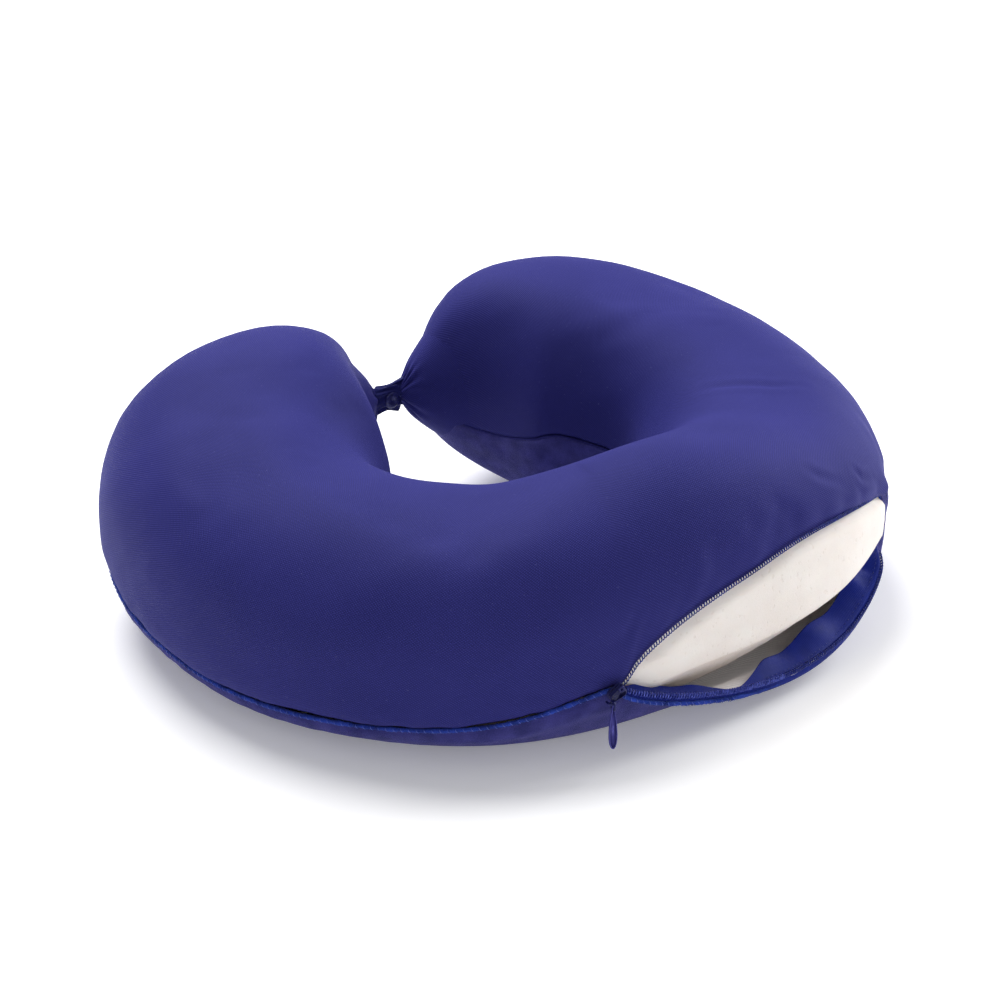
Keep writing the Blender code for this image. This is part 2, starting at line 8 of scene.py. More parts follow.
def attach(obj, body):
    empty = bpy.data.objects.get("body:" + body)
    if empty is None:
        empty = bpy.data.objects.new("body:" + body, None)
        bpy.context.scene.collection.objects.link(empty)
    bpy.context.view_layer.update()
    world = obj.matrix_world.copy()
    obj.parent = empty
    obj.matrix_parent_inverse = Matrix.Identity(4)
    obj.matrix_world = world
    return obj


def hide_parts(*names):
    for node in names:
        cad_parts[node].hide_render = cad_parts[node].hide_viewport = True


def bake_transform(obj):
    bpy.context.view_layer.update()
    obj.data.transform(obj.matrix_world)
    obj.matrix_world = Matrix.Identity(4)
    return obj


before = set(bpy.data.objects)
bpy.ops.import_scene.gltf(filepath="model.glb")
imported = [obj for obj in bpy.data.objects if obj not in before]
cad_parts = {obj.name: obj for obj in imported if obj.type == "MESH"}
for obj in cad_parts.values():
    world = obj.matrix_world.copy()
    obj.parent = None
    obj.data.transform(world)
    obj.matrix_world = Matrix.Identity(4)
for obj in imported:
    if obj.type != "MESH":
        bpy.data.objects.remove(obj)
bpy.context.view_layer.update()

# ---- the pillow's body, as in the frame but for the foam's fuller base ----
ARC_CENTRE = np.array((0.0, 0.0145, 0.0))
ARM_SWEEP = 170.2
OUTER_RADII = (0.1340, 0.1468, 0.1522, 0.1545, 0.1120)
INNER_RADII = (0.0574, 0.0504, 0.0554, 0.0441, 0.0584)
TOP_HEIGHTS = (0.0951, 0.0845, 0.0885, 0.1015, 0.1200)
BASE_HEIGHTS = (0.0010, 0.0, 0.0, 0.0045, 0.0070)
TIP_START = 0.72
TIP_ROUNDNESS = 1.9
MID_HEIGHT = 0.42
TOP_FULLNESS = 2.37
BASE_FULLNESS = 2.60
FOAM_BASE_FULLNESS = 2.10
TOP_LEAN = -0.075
BASE_FLAT = 0.002

# ---- layers, seams and the zip's mouth: close to the frame's, finer where the photo shows more ----
COVER_THICKNESS = 0.0011
TAPE_DEPTH = 0.00165
TAPE_THICKNESS = 0.0005
FOAM_DEPTH = 0.0026
FOAM_BULGE = 0.0002  # how far the bare foam stands over the skin
INNER_SEAM_RISE = 0.0945  # height over mid height, by the half height
INNER_SEAM_DIP = 0.475  # how far that falls towards each tip
OUTER_SEAM = -21.0  # section angle in degrees
ARM_SEAM_RISE = 8.0
LEFT_SEAM_DIP = 6.5  # degrees lower on the left arm
LEFT_SEAM_DIP_SWEEP = -86.0
LEFT_SEAM_DIP_WIDTH = 30.0
MOUTH_START, MOUTH_END = -19.5, 46.5
MOUTH_START_ANGLE, MOUTH_END_ANGLE = -8.5, 13.0
MOUTH_RISE = 18.5
MOUTH_RISE_SHAPE = 0.85
EARLY_RISE = 5.2  # lifts the upper edge beside the slider
EARLY_RISE_START = (0.0, 0.045)
EARLY_RISE_END = (0.10, 0.42)
MOUTH_SKEW = 1.25
BASE_EDGE_DROP = 52.0
LIP_REACH = 0.035
LIP_SHAPE = 0.6
LIP_SLOPE = math.radians(-58.0)
FOAM_TUCK = 0.0016  # the foam sinks behind the lip's end
LIP_END_LINE = (11.0, 0.05, 0.6)  # degrees that the lip's end falls, over what share, and its curve
CORNER_TUCK = 0.0050  # the lip's end lies back against the foam

# ---- the foam's lower rim in the mouth: its height and bevelled band at each sweep in degrees ----
RIM_SWEEPS = (-34.0, -19.0, -7.0, 6.0, 16.0, 28.0, 40.0, 50.0, 62.0)
RIM_HEIGHTS = (-0.006, 0.0215, 0.0242, 0.0252, 0.0268, 0.0305, 0.0368, 0.0275, -0.006)
RIM_BANDS = (0.014, 0.014, 0.014, 0.0125, 0.0085, 0.006, 0.006, 0.006, 0.006)
RIM_SOFTNESS = 0.0009
RIM_BAND_SLOPE = 1.15
UNDERSIDE_SLOPE = 0.25

# ---- mesh density ----
BODY_STEPS = 380
TIP_STEPS = 26
MOUTH_STEPS = 130
TOP_ROWS = 120
BASE_ROWS = 110
FOAM_ROWS = 180
TAPE_ROWS = 22
SIM_COLUMNS, SIM_ROWS = 120, 26
SIM_FRAMES = 20
SIM_CAP = 0.0008  # most that the cloth run moves the cover

# ---- the gathered arm tips, panel edges and the mouth's corner ----
CONE_REACH = 0.0088  # how far each tip's cover is drawn out
CONE_FADE = 0.0140
CONE_ENDS = (0.011, 0.029)  # distances from the tip over which it ends
PANEL_GAP = 0.12  # degrees from a seam line to each panel
CORNER_SINK = 0.0016  # the base panel's corner lies behind it
CORNER_REACH = 0.0032  # how far the mouth's corner is pulled out

# ---- piping, welt and zip ----
PIPING_RADIUS = 0.00076
PIPING_STEP = 0.0009
WELT_STEP = 0.0011
COIL_PITCH = 0.00118
COIL_WIRE = 0.00021
SLIDER_STANDOFF = 0.0032
SLIDER_BACK = 0.026
SLIDER_TILT = math.radians(30.0)
SLIDER_LENGTH = 0.0064
LINK_WIRE = 0.00035

UP = np.array((0.0, 0.0, 1.0))
DENSE_ROWS = 420
ZIP_CORNER_REACH = CORNER_REACH * 0.8


# ---- shape of the skin ----
def along_arm(values, u):
    values = np.asarray(values, float)
    last = len(values) - 1
    place = np.abs(u) * last
    start = np.minimum(place.astype(int), last - 1)
    share = place - start
    here, there = values[start], values[start + 1]
    before = values[np.abs(start - 1)]
    after = np.where(start + 2 <= last, values[np.minimum(start + 2, last)], 2 * there - here)
    slope_in, slope_out = (there - before) / 2, (after - here) / 2
    bend = 2 * (here - there) + slope_in + slope_out
    turn = 3 * (there - here) - 2 * slope_in - slope_out
    return here + share * (slope_in + share * (turn + share * bend))


def signed_power(value, power):
    return np.sign(value) * np.abs(value) ** power


def tip_scale(u):
    reach = np.clip((np.abs(u) - TIP_START) / (1 - TIP_START), 0, 1)
    return np.maximum(1 - reach ** TIP_ROUNDNESS, 0) ** (1 / TIP_ROUNDNESS)


def raw_skin(u, angle, base_fullness=BASE_FULLNESS):
    u, angle = np.broadcast_arrays(np.asarray(u, float), np.asarray(angle, float))
    outer, inner = along_arm(OUTER_RADII, u), along_arm(INNER_RADII, u)
    top, base = along_arm(TOP_HEIGHTS, u), along_arm(BASE_HEIGHTS, u)
    scale = tip_scale(u)
    middle = base + (top - base) * MID_HEIGHT
    sine, cosine = np.sin(np.radians(angle)), np.cos(np.radians(angle))
    power = np.where(sine >= 0, 2 / TOP_FULLNESS, 2 / base_fullness)
    across, rise = signed_power(cosine, power), signed_power(sine, power)
    height = np.where(sine >= 0, top - middle, middle - base)
    lean = TOP_LEAN * np.maximum(rise, 0) * (1 - across * across)
    radius = (outer + inner) / 2 + (outer - inner) / 2 * scale * (across + lean)
    sweep = np.radians(ARM_SWEEP * u)
    flat = np.stack([radius * np.sin(sweep), -radius * np.cos(sweep), middle + height * scale * rise], -1)
    return flat + ARC_CENTRE


def unit(vectors):
    length = np.linalg.norm(vectors, axis=-1, keepdims=True)
    return vectors / np.maximum(length, 1e-12)


def skin_normal(u, angle, base_fullness=BASE_FULLNESS):
    u, angle = np.broadcast_arrays(np.asarray(u, float), np.asarray(angle, float))
    small_u, small_angle = 2e-4, 0.05
    near = np.clip(u, -0.9995, 0.9995)
    along = raw_skin(near + small_u, angle, base_fullness) - raw_skin(near - small_u, angle, base_fullness)
    around = raw_skin(near, angle + small_angle, base_fullness) - raw_skin(near, angle - small_angle,
                                                                           base_fullness)
    sweep = np.radians(ARM_SWEEP * u)
    end = np.stack([np.cos(sweep), np.sin(sweep), 0 * sweep], -1) * np.sign(u)[..., None]
    return np.where((np.abs(u) > 0.9995)[..., None], end, unit(np.cross(along, around)))


def skin(u, angle, depth=0.0, base_fullness=BASE_FULLNESS):
    point = raw_skin(u, angle, base_fullness) - np.asarray(depth)[..., None] * skin_normal(u, angle,
                                                                                           base_fullness)
    point[..., 2] = np.maximum(point[..., 2] - BASE_FLAT, depth)
    return point


# ---- seam and mouth lines ----
def bump(share):
    return np.maximum(np.sin(np.pi * np.clip(share, 0, 1)), 0)


def skewed_bump(share):
    return bump(np.clip(share, 0, 1) ** MOUTH_SKEW)


def mouth_share(u):
    return (u * ARM_SWEEP - MOUTH_START) / (MOUTH_END - MOUTH_START)


def mouth_u(share):
    return (MOUTH_START + share * (MOUTH_END - MOUTH_START)) / ARM_SWEEP


def mouth_base_angle(share):
    return MOUTH_START_ANGLE + share * (MOUTH_END_ANGLE - MOUTH_START_ANGLE)


def eased(value, start, end):
    share = np.clip((value - start) / (end - start), 0, 1)
    return share * share * (3 - 2 * share)


def inner_seam(u):
    """Section angle of the inner seam, whose height falls smoothly towards each tip."""
    rise = INNER_SEAM_RISE - INNER_SEAM_DIP * eased(np.abs(u) * ARM_SWEEP, 112, 168)
    fullness = np.where(rise > 0, TOP_FULLNESS, BASE_FULLNESS)
    return 180 - np.degrees(np.arcsin(signed_power(rise, fullness / 2)))


def seam_angle(u):
    sweep = u * ARM_SWEEP
    level = OUTER_SEAM + ARM_SEAM_RISE * eased(np.abs(sweep), 70, 120)
    level = level - LEFT_SEAM_DIP * np.exp(-((sweep - LEFT_SEAM_DIP_SWEEP) / LEFT_SEAM_DIP_WIDTH) ** 2)
    left = sweep < (MOUTH_START + MOUTH_END) / 2
    end = np.where(left, MOUTH_START, MOUTH_END)
    end_angle = np.where(left, MOUTH_START_ANGLE, MOUTH_END_ANGLE)
    near = np.exp(-((sweep - end) / np.where(left, 15, 22)) ** 2)
    return level + (end_angle - level) * near


def inside_mouth(u):
    share = mouth_share(u)
    return (share > 0) & (share < 1)


def upper_edge(share):
    early = EARLY_RISE * eased(share, *EARLY_RISE_START) * (1 - eased(share, *EARLY_RISE_END))
    return mouth_base_angle(share) + MOUTH_RISE * skewed_bump(share) ** MOUTH_RISE_SHAPE + early


def base_edge(share):
    return mouth_base_angle(share) - BASE_EDGE_DROP * bump(share) ** 0.5


def lip_point(share, inward=0.0, drop=0.0):
    """Point on the lower row of teeth, moved inward to the pillow and down by two lengths."""
    share = np.asarray(share, float)
    start = skin(mouth_u(0.0), MOUTH_START_ANGLE) - ARC_CENTRE
    end = skin(mouth_u(1.0), MOUTH_END_ANGLE) - ARC_CENTRE
    along = unit(end - start)
    out = unit(np.array((along[1], -along[0], 0.0)))
    up = np.cross(out, along)
    reach = LIP_REACH * skewed_bump(share)[..., None] ** LIP_SHAPE
    point = start + (end - start) * share[..., None]
    point = point + reach * (out * math.cos(LIP_SLOPE) + up * math.sin(LIP_SLOPE))
    flat = unit(point * (1, 1, 0))
    tucked = CORNER_TUCK * np.exp(-((share - 0.95) / 0.045) ** 2)
    inward, drop = (np.asarray(inward) + tucked)[..., None], np.asarray(drop)[..., None]
    return point - flat * inward - UP * drop + ARC_CENTRE


# ---- numeric helpers ----
def ripple(points, size, seed, waves=14):
    """Smooth uneven field from -1 to 1 whose features are about size across."""
    made = np.random.default_rng(seed)
    field = np.zeros(points.shape[:-1])
    for _ in range(waves):
        direction = unit(made.normal(size=3)) * 2 * math.pi / (size * made.uniform(0.7, 1.6))
        field += np.sin(points @ direction + made.uniform(0, 2 * math.pi))
    return np.clip(field / math.sqrt(waves / 2) / 2, -1, 1)


def smoothed_line(values, width):
    """Values averaged with their neighbours, the end values carried on."""
    kernel = np.hanning(width)
    return np.convolve(np.pad(values, width // 2, mode="edge"), kernel / kernel.sum(), "valid")


def row_lengths(grid):
    steps = np.linalg.norm(np.diff(grid, axis=1), axis=-1)
    return np.concatenate([np.zeros((len(grid), 1)), np.cumsum(steps, axis=1)], axis=1)


def path_lengths(path):
    return np.concatenate([[0], np.cumsum(np.linalg.norm(np.diff(path, axis=0), axis=-1))])


def even_rows(grid, rows):
    """Each column of a dense grid, sampled again at even lengths."""
    lengths = row_lengths(grid)
    made = np.empty((len(grid), rows, 3))
    for i, (column, length) in enumerate(zip(grid, lengths)):
        wanted = np.linspace(0, length[-1], rows)
        for axis in range(3):
            made[i, :, axis] = np.interp(wanted, length, column[:, axis])
    return made


def grid_normals(grid):
    along = np.gradient(grid, axis=0)
    around = np.gradient(grid, axis=1)
    return unit(np.cross(along, around))


def fine_stations():
    body = np.linspace(-TIP_START, TIP_START, BODY_STEPS + 1)
    body = body[~inside_mouth(body)]
    shares = (1 - np.cos(np.pi * np.linspace(0, 1, MOUTH_STEPS + 1))) / 2
    mouth = mouth_u(0.35 * shares + 0.65 * np.linspace(0, 1, MOUTH_STEPS + 1))
    turns = np.linspace(0, math.pi / 2, TIP_STEPS + 1)[1:]
    tip = TIP_START + (1 - TIP_START) * np.sin(turns) ** (2 / TIP_ROUNDNESS)
    return np.unique(np.round(np.concatenate([-tip, body, mouth, tip]), 7))


# ---- objects ----
def mesh_object(name, points, faces, material, uv=None):
    mesh = bpy.data.meshes.new(name)
    mesh.from_pydata([tuple(p) for p in points], [], [tuple(f) for f in faces])
    mesh.validate()
    mesh.shade_smooth()
    if uv is not None:
        layer = mesh.uv_layers.new(name="length")
        index = np.empty(len(mesh.loops), int)
        mesh.loops.foreach_get("vertex_index", index)
        layer.data.foreach_set("uv", np.asarray(uv, np.float32)[index].ravel())
    obj = bpy.data.objects.new(name, mesh)
    bpy.context.scene.collection.objects.link(obj)
    mesh.materials.append(material)
    return obj


def grid_faces(columns, rows, closed=False):
    faces = []
    for i in range(columns - 1):
        for j in range(rows if closed else rows - 1):
            k = (j + 1) % rows
            faces.append((i * rows + j, (i + 1) * rows + j, (i + 1) * rows + k, i * rows + k))
    return faces


def grid_uv(grid):
    """Lengths in metres along and across the sheet, so that a weave keeps its real size."""
    across = row_lengths(grid)
    across = across - across[:, -1:] / 2
    middle = grid[:, grid.shape[1] // 2]
    along = path_lengths(middle)
    return np.stack([np.broadcast_to(along[:, None], across.shape), across], -1).reshape(-1, 2)


def sheet_object(name, grid, thickness, material, outward=1, lining=None):
    columns, rows = grid.shape[:2]
    faces = grid_faces(columns, rows)
    if outward < 0:
        faces = [face[::-1] for face in faces]
    obj = mesh_object(name, grid.reshape(-1, 3), faces, material, grid_uv(grid))
    solid = obj.modifiers.new("thickness", "SOLIDIFY")
    solid.thickness = thickness
    solid.offset = -1.0
    if lining is not None:
        obj.data.materials.append(lining)
        solid.material_offset = 1
    return obj


def merge(parts):
    """One list of points and faces from several."""
    points, faces, start = [], [], 0
    for part_points, part_faces in parts:
        points.append(np.asarray(part_points, float))
        faces.extend(tuple(i + start for i in face) for face in part_faces)
        start += len(part_points)
    return np.concatenate(points), faces


def tube_mesh(path, radius, sides=8, closed=False):
    """Tube along a path, with a radius per point if wanted."""
    path = np.asarray(path, float)
    count = len(path)
    radius = np.broadcast_to(np.asarray(radius, float), count)
    if closed:
        tangent = unit(np.roll(path, -1, 0) - np.roll(path, 1, 0))
    else:
        tangent = unit(np.gradient(path, axis=0))
    side = np.empty_like(path)
    first = UP if abs(tangent[0][2]) < 0.8 else np.array((1.0, 0, 0))
    side[0] = unit(first - tangent[0] * (first @ tangent[0]))
    for i in range(1, count):
        carried = side[i - 1] - tangent[i] * (side[i - 1] @ tangent[i])
        side[i] = unit(carried)
    other = np.cross(tangent, side)
    turns = np.linspace(0, 2 * math.pi, sides, endpoint=False)
    rings = (path[:, None] + radius[:, None, None] * (
        side[:, None] * np.cos(turns)[None, :, None]
        + other[:, None] * np.sin(turns)[None, :, None]))
    faces = grid_faces(count, sides, closed=True)
    points = rings.reshape(-1, 3)
    if closed:
        last = (count - 1) * sides
        faces += [(last + j, j, (j + 1) % sides, last + (j + 1) % sides) for j in range(sides)]
    else:
        faces += [tuple(range(sides))[::-1], tuple((count - 1) * sides + j for j in range(sides))]
    return points, faces


def even_path(path, step):
    path = np.asarray(path, float)
    length = path_lengths(path)
    wanted = np.linspace(0, length[-1], max(int(length[-1] / step), 2))
    return np.stack([np.interp(wanted, length, path[:, axis]) for axis in range(3)], -1)


def outward_of(points):
    """Flat direction away from the middle line of the ring."""
    flat = (points - ARC_CENTRE) * (1, 1, 0)
    return unit(flat)


# ---- procedural materials ----
class Surface:
    """A Principled material with small helpers for its nodes."""

    def __init__(self, name, **numbers):
        self.material = bpy.data.materials.new(name)
        self.material.use_nodes = True
        self.tree = self.material.node_tree
        self.shader = self.tree.nodes["Principled BSDF"]
        for socket, value in numbers.items():
            self.shader.inputs[socket.replace("_", " ")].default_value = value

    def node(self, kind, **inputs):
        made = self.tree.nodes.new(kind)
        for socket, value in inputs.items():
            self.feed(made.inputs[socket.replace("_", " ")], value)
        return made

    def feed(self, socket, value):
        if isinstance(value, bpy.types.NodeSocket):
            self.tree.links.new(value, socket)
        else:
            socket.default_value = value

    def place(self, kind="Object"):
        return self.node("ShaderNodeTexCoord").outputs[kind]

    def noise(self, scale, detail=2.0, roughness=0.5, kind="Object", stretch=None):
        vector = self.place(kind)
        if stretch:
            vector = self.node("ShaderNodeMapping", Vector=vector, Scale=stretch).outputs["Vector"]
        made = self.node("ShaderNodeTexNoise", Vector=vector, Scale=scale, Detail=detail,
                         Roughness=roughness)
        return made.outputs["Fac"]

    def wave(self, pitch, angle):
        """Ribs of a real pitch, in the length coordinates of a sheet."""
        turned = self.node("ShaderNodeMapping", Vector=self.place("UV"),
                           Rotation=(0, 0, math.radians(angle)))
        made = self.node("ShaderNodeTexWave", Vector=turned.outputs["Vector"],
                         Scale=math.pi / (10 * pitch), Distortion=0.0)
        return made.outputs["Fac"]

    def spread(self, value, low, high, new_low=0.0, new_high=1.0):
        made = self.node("ShaderNodeMapRange", Value=value)
        for socket, number in zip(("From Min", "From Max", "To Min", "To Max"),
                                  (low, high, new_low, new_high)):
            made.inputs[socket].default_value = number
        return made.outputs["Result"]

    def maths(self, operation, a, b=0.0):
        made = self.tree.nodes.new("ShaderNodeMath")
        made.operation = operation
        self.feed(made.inputs[0], a)
        self.feed(made.inputs[1], b)
        return made.outputs[0]

    def mix(self, share, a, b):
        made = self.tree.nodes.new("ShaderNodeMix")
        made.data_type = "RGBA"
        self.feed(made.inputs[0], share)
        for index, value in ((6, a), (7, b)):
            if not isinstance(value, bpy.types.NodeSocket):
                value = (*value, 1.0)
            self.feed(made.inputs[index], value)
        return made.outputs[2]

    def bump(self, height, distance, strength=1.0, normal=None):
        made = self.node("ShaderNodeBump", Height=height, Distance=distance, Strength=strength)
        if normal is not None:
            self.feed(made.inputs["Normal"], normal)
        return made.outputs["Normal"]

    def finish(self, colour, roughness, normal):
        self.feed(self.shader.inputs["Base Color"], colour)
        self.feed(self.shader.inputs["Roughness"], roughness)
        self.feed(self.shader.inputs["Normal"], normal)
        return self.material


def knit_material():
    """Fine stretch knit: two crossing sets of ribs, a few lint specks and a slight sheen."""
    s = Surface("cover_knit", Sheen_Weight=0.14, Sheen_Roughness=0.42,
                Sheen_Tint=(0.26, 0.25, 1.0, 1.0), Specular_IOR_Level=0.07)
    weave = s.maths("MULTIPLY", s.wave(0.00066, 52), s.wave(0.00066, -38))
    fine = s.noise(4200.0, 2.0)
    broad = s.noise(24.0, 3.0)
    lint = s.spread(s.noise(1100.0, 1.0, 0.4), 0.73, 0.78)
    dye = s.mix(s.spread(broad, 0.3, 0.7), (0.0165, 0.0170, 0.114), (0.0215, 0.0215, 0.138))
    threads = s.mix(s.maths("MULTIPLY", weave, 0.62), dye, (0.050, 0.051, 0.300))
    colour = s.mix(s.maths("MULTIPLY", lint, 0.14), threads, (0.16, 0.16, 0.38))
    roughness = s.spread(s.maths("ADD", s.maths("MULTIPLY", weave, 0.5), fine), 0.3, 1.2, 0.56, 0.76)
    normal = s.bump(weave, 0.00012, 0.7, s.bump(fine, 0.00010, 0.35))
    return s.finish(colour, roughness, normal)


def velour_material(name, dark, light, tint):
    """Short pile whose colour is lighter in soft patches: a painted sheen where the pile catches the light.
    """
    s = Surface(name, Sheen_Weight=0.32, Sheen_Roughness=0.32, Sheen_Tint=(*tint, 1.0),
                Specular_IOR_Level=0.2)
    pile, painted_sheen_patches = s.noise(2600.0, 3.0, 0.7), s.noise(160.0, 2.0)
    lie = s.noise(60.0, 2.0, 0.5, stretch=(1.0, 1.0, 2.2))
    share = s.maths("ADD", s.maths("MULTIPLY", pile, 0.6), s.maths("MULTIPLY", painted_sheen_patches, 0.5))
    # The light colour, mixed in over the pile and the broad patches, is painted sheen of the pile.
    colour = s.mix(s.spread(share, 0.38, 0.75), dark, light)
    roughness = s.spread(lie, 0.3, 0.7, 0.72, 0.95)
    normal = s.bump(pile, 0.0005, 0.7, s.bump(lie, 0.0016, 0.35))
    return s.finish(colour, roughness, normal)


def satin_material(name, dark, light, base_roughness=0.36):
    """Close flat weave with a satin gloss."""
    s = Surface(name, Sheen_Weight=0.10, Sheen_Roughness=0.3, Sheen_Tint=(0.2, 0.3, 1.0, 1.0),
                Specular_IOR_Level=0.22, Specular_Tint=(0.30, 0.38, 1.0, 1.0))
    rib, cross = s.wave(0.00055, 0), s.wave(0.00040, 90)
    weave = s.maths("MULTIPLY", rib, cross)
    shade = s.noise(120.0, 3.0)
    colour = s.mix(s.spread(s.maths("ADD", weave, shade), 0.4, 1.2), dark, light)
    roughness = s.spread(s.noise(700.0, 2.0), 0.3, 0.7, base_roughness - 0.05, base_roughness + 0.14)
    normal = s.bump(weave, 0.00010, 0.6, s.bump(shade, 0.0010, 0.25))
    return s.finish(colour, roughness, normal)


def foam_material():
    """Moulded polyurethane foam: cream, slightly mottled, with a close skin of pores; painted shade darkens
    its dents and the faces that turn down.
    """
    s = Surface("foam", Subsurface_Weight=0.18, Subsurface_Scale=0.004, Specular_IOR_Level=0.35)
    s.shader.inputs["Subsurface Radius"].default_value = (1.0, 0.6, 0.4)
    mottle, pores = s.noise(38.0, 4.0, 0.55), s.noise(2600.0, 3.0, 0.6)
    pits = s.spread(s.noise(420.0, 2.0), 0.62, 0.72)
    colour = s.mix(s.spread(mottle, 0.3, 0.7), (0.810, 0.745, 0.700), (0.885, 0.840, 0.800))
    # The pits are dents in the bump and are mixed darker: painted shade inside them.
    colour = s.mix(s.maths("MULTIPLY", pits, 0.25), colour, (0.70, 0.61, 0.53))
    # Faces that turn down are mixed towards a darker tan: painted shade under the foam's rim, not a colour
    # of the foam itself.
    split = s.node("ShaderNodeSeparateXYZ", Vector=s.node("ShaderNodeNewGeometry").outputs["Normal"])
    underside_painted_shade = s.maths("MULTIPLY", s.spread(split.outputs["Z"], -0.15, -0.70), 0.42)
    colour = s.mix(underside_painted_shade, colour, (0.60, 0.47, 0.38))
    roughness = s.spread(pores, 0.3, 0.7, 0.52, 0.74)
    normal = s.bump(s.maths("SUBTRACT", pores, pits), 0.00022, 0.5, s.bump(mottle, 0.002, 0.3))
    return s.finish(colour, roughness, normal)


def lining_material():
    """Pale brushed inner face of the cover's base."""
    s = Surface("lining", Sheen_Weight=0.3, Sheen_Roughness=0.5, Specular_IOR_Level=0.2)
    rib, fluff = s.wave(0.0011, 0), s.noise(1400.0, 3.0, 0.65)
    colour = s.mix(s.spread(s.maths("ADD", rib, fluff), 0.4, 1.6), (0.80, 0.78, 0.79), (0.93, 0.91, 0.91))
    roughness = s.spread(fluff, 0.3, 0.7, 0.75, 0.95)
    return s.finish(colour, roughness, s.bump(rib, 0.0002, 0.5, s.bump(fluff, 0.0003, 0.4)))


def nylon_material(name, dark, light):
    """Slightly clear nylon with a wet-looking gloss."""
    s = Surface(name, Coat_Weight=0.25, Coat_Roughness=0.2, Coat_Tint=(0.5, 0.55, 1.0, 1.0),
                Specular_IOR_Level=0.5, Specular_Tint=(0.40, 0.45, 1.0, 1.0))
    patch, grain = s.noise(900.0, 2.0), s.noise(3200.0, 2.0)
    colour = s.mix(s.spread(patch, 0.35, 0.65), dark, light)
    roughness = s.spread(grain, 0.3, 0.7, 0.22, 0.42)
    return s.finish(colour, roughness, s.bump(grain, 0.00005, 0.4))


def metal_material(name, paint, bare):
    """Cast zinc under thin dark enamel, worn through in small places."""
    s = Surface(name, Coat_Weight=0.22, Coat_Roughness=0.2, Coat_Tint=(0.5, 0.55, 1.0, 1.0),
                Specular_IOR_Level=0.5, Specular_Tint=(0.40, 0.42, 1.0, 1.0))
    wear = s.spread(s.noise(1500.0, 4.0, 0.7), 0.60, 0.70)
    grain = s.noise(4200.0, 2.0)
    colour = s.mix(wear, paint, bare)
    s.feed(s.shader.inputs["Metallic"], s.spread(wear, 0, 1, 0.25, 0.9))
    roughness = s.spread(grain, 0.3, 0.7, 0.26, 0.46)
    return s.finish(colour, roughness, s.bump(grain, 0.00006, 0.5))


def thread_material():
    """Bright blue polyester sewing thread, twisted."""
    s = Surface("stitching", Sheen_Weight=0.6, Sheen_Roughness=0.3, Sheen_Tint=(0.5, 0.6, 1.0, 1.0))
    twist, shade = s.noise(4200.0, 2.0), s.noise(300.0, 2.0)
    colour = s.mix(s.spread(s.maths("ADD", twist, shade), 0.7, 1.3), (0.030, 0.060, 0.38),
                   (0.110, 0.160, 0.66))
    roughness = s.spread(twist, 0.3, 0.7, 0.4, 0.65)
    return s.finish(colour, roughness, s.bump(twist, 0.00008, 0.6))


KNIT = knit_material()
# In both velours the light colour is painted sheen; on the seam velour it paints the bright sparkles of the
# pile.
VELOUR = velour_material("base_velour", (0.018, 0.019, 0.115), (0.054, 0.050, 0.250), (0.42, 0.40, 1.0))
PIPING = velour_material("seam_velour", (0.007, 0.017, 0.150), (0.034, 0.082, 0.560), (0.30, 0.45, 1.0))
SATIN = satin_material("zip_tape", (0.004, 0.010, 0.130), (0.011, 0.024, 0.280), 0.36)
STRAP = satin_material("strap_knit", (0.0085, 0.0085, 0.066), (0.018, 0.019, 0.125), 0.52)
FOAM = foam_material()
LINING = lining_material()
TEETH = nylon_material("zip_nylon", (0.005, 0.010, 0.100), (0.020, 0.036, 0.260))
# Lighter copy of the zip nylon: a painted highlight for the lit teeth of the lower row.
TEETH_PAINTED_LIT = nylon_material("zip_nylon_painted_highlight", (0.012, 0.022, 0.180), (0.120, 0.155, 0.600))
METAL = metal_material("zip_metal", (0.008, 0.009, 0.070), (0.070, 0.075, 0.260))
PULLER = metal_material("puller_enamel", (0.065, 0.060, 0.270), (0.20, 0.19, 0.46))
SNAP = nylon_material("snap", (0.010, 0.010, 0.055), (0.024, 0.024, 0.110))
THREAD = thread_material()


